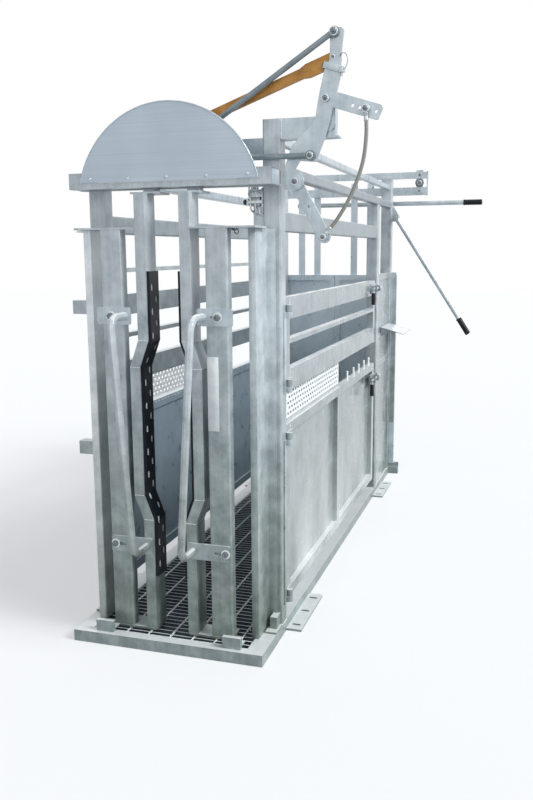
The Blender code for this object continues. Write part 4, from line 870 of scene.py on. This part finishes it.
# %% Grips of the slide bar, the hanging lever and the latches
BAR_GRIP_RADIUS = 19.5 * MM
LATCH_GRIP_RADIUS = 12 * MM
LEVER_TOP = Vector((0.465, 1.465, 1.898))
LEVER_END = Vector((0.994, 1.465, 1.08))
LEVER_GRIP_LENGTH = 0.13
low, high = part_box("rear_grip_one")
set_grip("slide_bar_grip", "rear_grip_one", (low[0], (low[1] + high[1]) / 2, (low[2] + high[2]) / 2),
         (1, 0, 0), BAR_GRIP_RADIUS, high[0] - low[0], "door_left")
down = (LEVER_END - LEVER_TOP).normalized()
set_grip("hanging_lever_grip", "rear_grip_two", LEVER_END - down * LEVER_GRIP_LENGTH, down,
         BAR_GRIP_RADIUS, LEVER_GRIP_LENGTH, "lever_two")
for word in ("upper", "lower"):
    low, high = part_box("latch_grip_" + word)
    top = ((low[0] + high[0]) / 2, (low[1] + high[1]) / 2, high[2])
    set_grip("bolt_grip_" + word, "latch_grip_" + word, top, (0, 0, -1), LATCH_GRIP_RADIUS,
             high[2] - low[2], "latch_" + word, rings=5)

# %% [markdown]
# ## The pull cable
#
# The cable joins the rocker's arm to the trip lever. It leaves its upper bolt straight down and curves in
# under its own stiffness. The path repeats the route of the solid, smoothed with a cubic curve that passes
# through every point. The two ends belong to two bodies, but the cable is attached to neither, so it keeps
# this shape at any pose.

# %% Pull cable
CABLE_RADIUS = 8 * MM


def smooth_route(points, count):
    """Points at even steps on a curve that passes through the route's own points."""
    ends = [2 * points[0] - points[1], *points, 2 * points[-1] - points[-2]]
    path = []
    for number in range(count + 1):
        reach = number / count * (len(points) - 1)
        span = min(int(reach), len(points) - 2)
        t = reach - span
        a, b, c, d = ends[span:span + 4]
        path.append((2 * b + (c - a) * t + (2 * a - 5 * b + 4 * c - d) * t ** 2
                     + (3 * b - a - 3 * c + d) * t ** 3) / 2)
    return path


low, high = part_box("trip_cable")
route = [Vector((x, low[1] + CABLE_RADIUS, z))
         for x, z in ((0.776, high[2]), (0.777, 2.09), (0.763, 1.99), (0.722, 1.88), (0.669, 1.79),
                      (0.6212, 1.7323))]
path = smooth_route(route, 80)
cable = bmesh.new()
tube(cable, path, CABLE_RADIUS * 0.94)
hung = piece("pull_cable", cable, cable_cover, None, ["trip_cable"])
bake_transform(hung)

# %% [markdown]
# ## The cable's ferrules
#
# A crimped ferrule closes each end of the cable, so that the steel inside can't fray. It is a
# turned sleeve with a flange at its mouth and a ring at its far end, and it rides with the body
# that its end is fixed to.

# %% Cable ferrules
ferrule = lathe([(0, 0), (9.5 * MM, 0), (9.8 * MM, 3 * MM), (8.6 * MM, 5 * MM), (8.6 * MM, 22 * MM),
                 (9.4 * MM, 24 * MM), (9.4 * MM, 29 * MM), (7 * MM, 31 * MM), (0, 31 * MM)])
for word, body, end, inward in (("upper", "rocker", 0, 1), ("lower", "trip_lever", -1, -2)):
    fitting = bmesh.new()
    heading = (path[inward] - path[end]).normalized()
    place(fitting, ferrule, path[end] + heading * 1 * MM, heading)
    piece("cable_ferrule_" + word, fitting, bolt_plate, body)

# %% [markdown]
# ## Bolts on the moving parts
#
# Every pin of the yoke is a bolt with a nut, and the camera sees most of them from the front.
# The bolts that turn with one body are one piece, because they ride together. The trip lever's
# pin also has a wide washer, which is turned from its section.

# %% Bolts of the rocker, the bracket and the links
bolted("rocker_bolts", "rocker", (
    (nut_end, (0.649, -1.3386, 2.48), 0.022, 0.3),
    (nut_end, (0.557, -1.3386, 2.032), 0.018, 0.3),
    (nut_end, (0.493, -1.3293, 1.936), 0.020, 0.2),
    (bolt_head, (0.643, -1.3233, 2.393), 0.011, 0.1),
    (nut_end, (0.774, -1.3413, 2.195), 0.019, 0.5)))
bolted("pivot_nut", "frame", [(nut_end, (0.616, -1.3313, 2.243), 0.019, 0.25)])
wide_washer = lathe([(9 * MM, 0), (26 * MM, 0), (26.6 * MM, 1 * MM), (26 * MM, 2.6 * MM), (9 * MM, 3 * MM)],
                    sides=40)
washer = bmesh.new()
place(washer, wide_washer, (0.497, -1.3233, 1.934), FRONT)
piece("trip_washer", washer, bright_zinc, "rocker")
bolted("trip_end_nut", "trip_lever", [(nut_end, (0.611, -1.3413, 1.72), 0.016, 0.1)])

# %% [markdown]
# ## The clamp and its linch pin
#
# A flat clamp goes round the rocker below its upper arm, and a linch pin with a spring ring
# holds it. The clamp is a plate with two short sides, made upright and then turned to the slope
# of the arm. The ring is a wire on a circle that stands a little off upright.

# %% Clamp and linch pin
CLAMP_SLOPE = math.radians(18)
EASED = 1.2 * MM
clamp = bmesh.new()
slab(clamp, (-0.043, -0.0045, -0.0125), (0.043, 0.0, 0.0125), EASED)
slab(clamp, (-0.043, -0.0045, -0.0125), (-0.0385, 0.0098, 0.0125), EASED)
slab(clamp, (0.0385, -0.0045, -0.0125), (0.043, 0.0098, 0.0125), EASED)
slope = Matrix.Translation((0.6445, -1.3237, 2.3535)) @ Matrix.Rotation(CLAMP_SLOPE, 4, "Y")
bmesh.ops.transform(clamp, matrix=slope, verts=clamp.verts)
piece("rocker_clamp", clamp, bright_zinc, "rocker")
pin = bmesh.new()
tube(pin, [(0.678, -1.329, 2.318), (0.682, -1.329, 2.352)], 4 * MM)
slab(pin, (0.670, -1.336, 2.331), (0.692, -1.322, 2.350), 1.5 * MM)
piece("linch_pin", pin, bolt_plate, "rocker")
ring = bmesh.new()
angles = [math.radians(turn) for turn in range(-80, 150, 10)]
tube(ring, [(0.684 + 0.018 * math.cos(a), -1.331 + 0.006 * math.sin(a), 2.372 + 0.031 * math.sin(a))
            for a in angles], 1.3 * MM)
piece("linch_ring", ring, dark_bolt, "rocker")

# %% [markdown]
# ## Bolts and seams of the neck leaves
#
# The pull handles are bolted through a slot in a flat strap, so that they can be set to the
# operator's reach. Each bow of a neck bar is cut and welded, and the four seams show as thin
# bright lines that run round two sides of the bar.

# %% Leaf bolts and seams
STRAP_BOLT_X = {"pull_strap_top_": 0.2325, "pull_strap_low_": 0.2505}
SEAM_LENGTH = 43 * MM
BAR_DEPTH = 98 * MM
for side, word in ((1, "right"), (-1, "left")):
    rows = []
    for node, x in STRAP_BOLT_X.items():
        low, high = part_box(node + word)
        rows.append((bolt_head, (side * x, low[1] + 0.2 * MM, (low[2] + high[2]) / 2), 0.025, 0.4))
    bolted("strap_bolts_" + word, "leaf_" + word, rows)
    beads = bmesh.new()
    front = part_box("leaf_" + word)[0][1] + 1 * MM
    for z in SEAMS:
        inner = side * (bar_face(z) + 0.5 * MM)
        outer = side * (bar_face(z) + 0.5 * MM + SEAM_LENGTH)
        weld(beads, (inner, front, z), (outer, front, z), 1.3 * MM)
        weld(beads, (outer, front, z), (outer, front + BAR_DEPTH, z), 1.3 * MM)
    piece("neck_seams_" + word, beads, weld_zinc, "leaf_" + word)

# %% [markdown]
# ## Weld beads on the frame and gates
#
# A bead runs where each rail meets its stile, along the feet of the posts and round the bracket.
# They are thin, but without them a welded frame looks like glued blocks. The posts are found by
# their front faces, and every bead lies half in the corner that it fills.

# %% Frame and gate beads
POST_FRONTS = (-1.31, 0.945, 1.485)
POST_INNER, POST_OUTER, POST_SECTION = 0.355, 0.43, 0.075
BASE_TOP = 0.0515
GATE_FACE = 0.4243
GATE_ENDS = (-1.1597, 0.835)
GATE_RAILS = {"upper": ((1.0705, 1.165), (1.275, 1.295), (1.38, 1.4745)),
              "lower": ((0.1305, 0.175), (0.885, 0.9295))}
beads = bmesh.new()
for side in (1, -1):
    inner, outer, corner = side * POST_INNER, side * POST_OUTER, side * (POST_OUTER - 1 * MM)
    for y in POST_FRONTS:
        weld(beads, (inner, y + 0.5 * MM, BASE_TOP), (outer, y + 0.5 * MM, BASE_TOP), 2.2 * MM)
        weld(beads, (corner, y, BASE_TOP), (corner, y + POST_SECTION, BASE_TOP), 2.2 * MM)
    weld(beads, (side * 0.357, -1.3255, 1.924), (side * 0.357, -1.3255, 1.983), 2.4 * MM)
    weld(beads, (side * 0.40, -1.3115, 1.9215), (side * 0.358, -1.3115, 1.9215), 2.2 * MM)
weld(beads, (0.4315, -1.3065, 2.104), (0.4315, -1.3065, 2.176), 2.4 * MM)
weld(beads, (0.30, -1.4555, 1.9455), (-0.30, -1.4555, 1.9455), 1.8 * MM)
piece("frame_beads", beads, weld_zinc, "frame")
for level, rails in GATE_RAILS.items():
    beads = bmesh.new()
    for y in GATE_ENDS:
        for foot, top in rails:
            weld(beads, (GATE_FACE, y, foot + 2 * MM), (GATE_FACE, y, top - 2 * MM), 2 * MM)
    piece("gate_beads_" + level, beads, weld_zinc, "gate_" + level)

# %% [markdown]
# ## The rolled guide post
#
# The right guide post is a rolled section, not a box: a narrow front face, a deep web and a lip
# behind it. Its outline is drawn once, as seen from above, and extruded up the post. A bevel
# gives every edge the small round that rolling leaves.

# %% Rolled guide post
POST_FRONT_WIDTH = 30 * MM
LIP = 6 * MM
low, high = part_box("guide_post_right")
web = low[0] + POST_FRONT_WIDTH
outline = [(low[0], low[1]), (web, low[1]), (web, high[1] - LIP), (high[0], high[1] - LIP),
           (high[0], high[1]), (low[0], high[1])]
post = bmesh.new()
face = post.faces.new([post.verts.new((x, y, low[2])) for x, y in outline])
grown = bmesh.ops.extrude_face_region(post, geom=[face])["geom"]
top = [part for part in grown if isinstance(part, bmesh.types.BMVert)]
bmesh.ops.translate(post, vec=(0, 0, high[2] - low[2]), verts=top)
bmesh.ops.recalc_face_normals(post, faces=post.faces)
bmesh.ops.bevel(post, geom=post.edges, offset=1.2 * MM, segments=2, profile=0.5, affect="EDGES",
                material=-1)
piece("rolled_guide_post", post, post_zinc, "frame", ["guide_post_right"])

# %% [markdown]
# ## End caps and the stitched seam
#
# The header is a channel, and a thin plate closes each of its ends. The caps stop short of the
# rocker plate, which swings past them. The panel of the left wall is stitched to its rail with
# short beads, as a long run of weld would warp the sheet.

# %% Header end caps and panel stitches
CAP_BACK = -1.346
CAP_THICKNESS = 3 * MM
low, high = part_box("header_track")
caps = bmesh.new()
for x in (high[0] - CAP_THICKNESS, low[0]):
    slab(caps, (x, low[1] + 1 * MM, low[2] + 1 * MM), (x + CAP_THICKNESS, CAP_BACK, high[2] - 1 * MM))
piece("header_end_caps", caps, bright_zinc, "frame")
STITCHES = 26
STITCH_PITCH = 40 * MM
STITCH_LENGTH = 18 * MM
low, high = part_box("left_wall_lower")
x, z = high[0] + 0.4 * MM, high[2] - 12 * MM
stitches = bmesh.new()
for number in range(STITCHES):
    y = low[1] + 0.03 + number * STITCH_PITCH
    weld(stitches, (x, y, z), (x, y + STITCH_LENGTH, z), 2 * MM)
piece("panel_stitches", stitches, weld_zinc, "frame")

# %% [markdown]
# ## The spring catch and its buffer
#
# Beside the right post hangs a spring catch with three nuts, a tongue and a black buffer that
# stops the leaf. It is small, but it breaks the straight lines of the header, so the eye looks
# for it. Its body is three eased blocks, and its hooked springs are bars on short paths.

# %% Spring catch, tongue and buffer
catch = bmesh.new()
slab(catch, (0.3475, -1.305, 1.812), (0.3547, -1.245, 1.918), 1.5 * MM)
slab(catch, (0.296, -1.306, 1.880), (0.3547, -1.250, 1.912), 4 * MM)
slab(catch, (0.300, -1.300, 1.846), (0.340, -1.262, 1.882), 4 * MM)
for x, top, foot in ((0.306, 1.862, 1.822), (0.326, 1.868, 1.812), (0.342, 1.846, 1.808)):
    tube(catch, [(x, -1.301, top), (x - 2 * MM, -1.316, top - 6 * MM), (x + 3 * MM, -1.318, foot + 8 * MM),
                 (x + 8 * MM, -1.308, foot), (x + 13 * MM, -1.302, foot + 8 * MM)], 4 * MM)
for x, z in ((0.314, 1.898), (0.341, 1.892)):
    place(catch, nut_end, (x, -1.306, z), FRONT, 0.014, 0.2)
place(catch, nut_end, (0.296, -1.278, 1.896), (-1, 0, 0), 0.017, 0.2)
piece("spring_catch", catch, bolt_plate, "frame", second=washer_zinc)
tongue = bmesh.new()
slab(tongue, (0.290, -1.324, 1.856), (0.3547, -1.262, 1.868), 1.5 * MM)
slab(tongue, (0.290, -1.324, 1.850), (0.298, -1.300, 1.876), 1.5 * MM)
piece("catch_tongue", tongue, washer_zinc, "frame")
buffer = bmesh.new()
place(buffer, lathe([(0, 0), (10 * MM, 0), (11 * MM, 3 * MM), (11 * MM, 13 * MM), (8 * MM, 17 * MM),
                     (0, 17 * MM)]), (0.2905, -1.306, 1.862), (-1, 0, 0))
piece("catch_buffer", buffer, black_nylon, "frame")

# %% [markdown]
# ## The eye under the leaf plate
#
# Under the plate of the right leaf hangs a small wire eye for a hook. A closed path makes the
# ring, a short bar its neck, and a thin plate beside it is the foot that holds it.

# %% Leaf eye
RING_RADIUS = 8 * MM
angles = [math.radians(turn) for turn in range(0, 360, 20)]
eye = bmesh.new()
tube(eye, [(0.301 + RING_RADIUS * math.cos(a), -1.478, 1.7425 + RING_RADIUS * math.sin(a))
           for a in angles], 2.2 * MM, closed=True)
tube(eye, [(0.301, -1.478, 1.7508), (0.301, -1.478, 1.7560)], 3 * MM)
slab(eye, (0.262, -1.500, 1.7462), (0.292, -1.470, 1.7548), 1 * MM)
piece("leaf_eye", eye, dark_bolt, "leaf_right")

# %% [markdown]
# ## The sign's rim and screws
#
# The sign is an arched plain sheet, screwed to the header. Its edge is rolled into a narrow rim.
# The arch is an arc of a circle, so the rim's path follows from its chord and rise. Five
# dome-headed screws stand along the foot.

# %% Sign rim and screws
RIM_INSET = 3 * MM
RIM_STEPS = 60
low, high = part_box("sign_plate")
chord, rise = high[0] - low[0], high[2] - low[2]
arc_radius = (chord ** 2 / 4 + rise ** 2) / (2 * rise)
arc_centre = low[2] + rise - arc_radius
arc_start = math.asin((low[2] - arc_centre) / arc_radius)
rim_radius = arc_radius - RIM_INSET
arc = [arc_start + (math.pi - 2 * arc_start) * i / RIM_STEPS for i in range(RIM_STEPS + 1)]
rim = bmesh.new()
tube(rim, [(rim_radius * math.cos(a), low[1] + 0.2 * MM, arc_centre + rim_radius * math.sin(a)) for a in arc],
     2.2 * MM)
piece("sign_rim", rim, bright_zinc, "frame")
dome = lathe([(0, 3.2 * MM), (3 * MM, 2.9 * MM), (5.5 * MM, 1.8 * MM), (6.5 * MM, 0.4 * MM),
              (6.5 * MM, -1 * MM), (0, -1 * MM)])
screws = bmesh.new()
for x in (-0.34, -0.17, 0.0, 0.17, 0.34):
    place(screws, dome, (x, low[1], low[2] + 14 * MM), FRONT)
piece("sign_screws", screws, bolt_plate, "frame")

# %% [markdown]
# ## Bolts of the rear doors and their track
#
# The doors hang on straps, and each strap is bolted to its roller above and to the door below.
# At each end of the track sits a turned disc on a bolt, between two smaller bolts that hold the
# end plate.

# %% Door bolts and track ends
STRAP_X = (0.139, 0.259)
DOOR_BOLT_HEIGHTS = (2.13, 1.46, 1.41)
TRACK_END_X = 0.615
for side, word in ((1, "right"), (-1, "left")):
    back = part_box("rear_door_" + word)[1][1] - 0.2 * MM
    bolted("door_bolts_" + word, "door_" + word,
           [(bolt_head, (side * x, back, z), 0.019, 0.3) for x in STRAP_X for z in DOOR_BOLT_HEIGHTS],
           facing=BACK)
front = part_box("door_track")[0][1]
disc = lathe([(0, 0), (29 * MM, 0), (30 * MM, 1 * MM), (30 * MM, 5 * MM), (28 * MM, 6 * MM), (0, 6 * MM)],
             sides=32)
ends = bmesh.new()
for x in (TRACK_END_X, -TRACK_END_X):
    place(ends, disc, (x, front - 0.2 * MM, 2.14), FRONT)
    place(ends, bolt_head, (x, front + 0.2 * MM, 2.195), FRONT, 0.019, 0.3)
    place(ends, bolt_head, (x, front + 0.2 * MM, 2.085), FRONT, 0.015, 0.3)
    place(ends, nut_end, (x, front - 6 * MM, 2.14), FRONT, 0.022, 0.1)
piece("track_end_bolts", ends, dark_bolt, "frame", second=bolt_plate)

# %% [markdown]
# ## Pegs and film
#
# The lower gate has a row of short round pegs along its top rail, turned with a rounded tip. A
# strip of plain grey film is stuck on the column of the right leaf. It is half a millimetre
# thick, so that its edge catches a little light.

# %% Gate pegs and blank film
PEG_PLACES = (0.13, 0.31, 0.47, 0.64, 0.80)
peg = lathe([(0, 48 * MM), (4 * MM, 47.6 * MM), (7 * MM, 44 * MM), (7 * MM, -1 * MM), (0, -1 * MM)], sides=16)
pegs = bmesh.new()
for y in PEG_PLACES:
    place(pegs, peg, (0.405, y, 0.93), (0, 0, 1))
piece("gate_pegs", pegs, weld_zinc, "gate_lower")
film = bmesh.new()
slab(film, (0.183, -1.5164, 0.951), (0.231, -1.5159, 1.253), 0.2 * MM)
piece("blank_film", film, blank_film, "leaf_right")

# %% [markdown]
# ## White for the camera only
#
# A studio shot on white needs a white background that doesn't light the object. The Light Path
# node tells what kind of ray asks. Rays from the camera see the white, and so do rays that were
# mirrored or went through glass, so that metal shows that background too.

# %% Rays that see the white
def seen_directly(tree):
    """One for rays from the camera, a mirror or glass, and zero for the rays that light things."""
    rays = add(tree, "LightPath")
    seen = add(tree, "Math", {0: rays.outputs["Is Camera Ray"], 1: rays.outputs["Is Glossy Ray"]},
               operation="MAXIMUM")
    seen = add(tree, "Math", {0: seen.outputs[0], 1: rays.outputs["Is Transmission Ray"]},
               operation="MAXIMUM")
    return seen.outputs[0]


print("ready:", seen_directly.__name__)

# %% [markdown]
# ## The floor
#
# The floor has to be white and still hold a shadow. It is a plain pale surface, and the rays
# that see the white also get a little light of its own from it, so it reaches white where
# nothing shades it. It lies a millimetre below the crush, so that the two never share a plane.

# %% Floor
FLOOR_GLOW = 0.45
FLOOR_SIZE = 30
studio_floor, tree, shader = new_material("pale_studio_floor")
shader.inputs["Base Color"].default_value = colour("#a4a6a8")
shader.inputs["Roughness"].default_value = 0.9
shader.inputs["Emission Color"].default_value = (1, 1, 1, 1)
glow = add(tree, "Math", {0: seen_directly(tree), 1: FLOOR_GLOW}, operation="MULTIPLY")
tree.links.new(glow.outputs[0], shader.inputs["Emission Strength"])
ground = bmesh.new()
bmesh.ops.create_grid(ground, x_segments=1, y_segments=1, size=FLOOR_SIZE)
bmesh.ops.translate(ground, vec=(0, 0, -1 * MM), verts=ground.verts)
floor = bpy.data.objects.new("floor", as_mesh("floor", ground))
floor.data.materials.append(studio_floor)
bpy.context.collection.objects.link(floor)
print("floor glow", FLOOR_GLOW)

# %% [markdown]
# ## The world
#
# The world is plain white to the camera and in mirrors, and a dimmer, slightly blue grey for
# lighting, like an open sky with thin cloud. It fills the shadows without flattening them.

# %% World
WORLD_STRENGTH = 0.58
world = bpy.data.worlds.new("studio")
bpy.context.scene.world = world
world.use_nodes = True
tree = world.node_tree
tree.nodes.clear()
soft = add(tree, "Background", {"Color": colour("#dfe6ec"), "Strength": WORLD_STRENGTH})
white = add(tree, "Background", {"Color": (1, 1, 1, 1), "Strength": 1.0})
choice = add(tree, "MixShader", {0: seen_directly(tree), 1: soft.outputs[0], 2: white.outputs[0]})
add(tree, "OutputWorld", {"Surface": choice.outputs[0]})
print("world strength", WORLD_STRENGTH)

# %% [markdown]
# ## The lamps
#
# One large soft lamp stands to the right and above, as the sun does on an open yard, and a weak
# one in front keeps the faces of the posts from going dark. A wide angle makes a distant lamp
# soft. Their strengths are set so that a colour renders about as it is written.

# %% Lamps
def sun(name, towards, strength, spread):
    """A distant lamp whose wide angle gives soft shadows, shining from a direction."""
    light = bpy.data.lights.new(name, "SUN")
    light.energy = strength
    light.angle = math.radians(spread)
    item = bpy.data.objects.new(name, light)
    item.rotation_euler = Vector(towards).to_track_quat("Z", "Y").to_euler()
    bpy.context.collection.objects.link(item)
    print(name, strength, "W per square metre")


sun("side_light", (0.74, -0.10, 0.66), 3.7, 25)
sun("front_fill", (0.15, -0.90, 0.35), 0.45, 60)
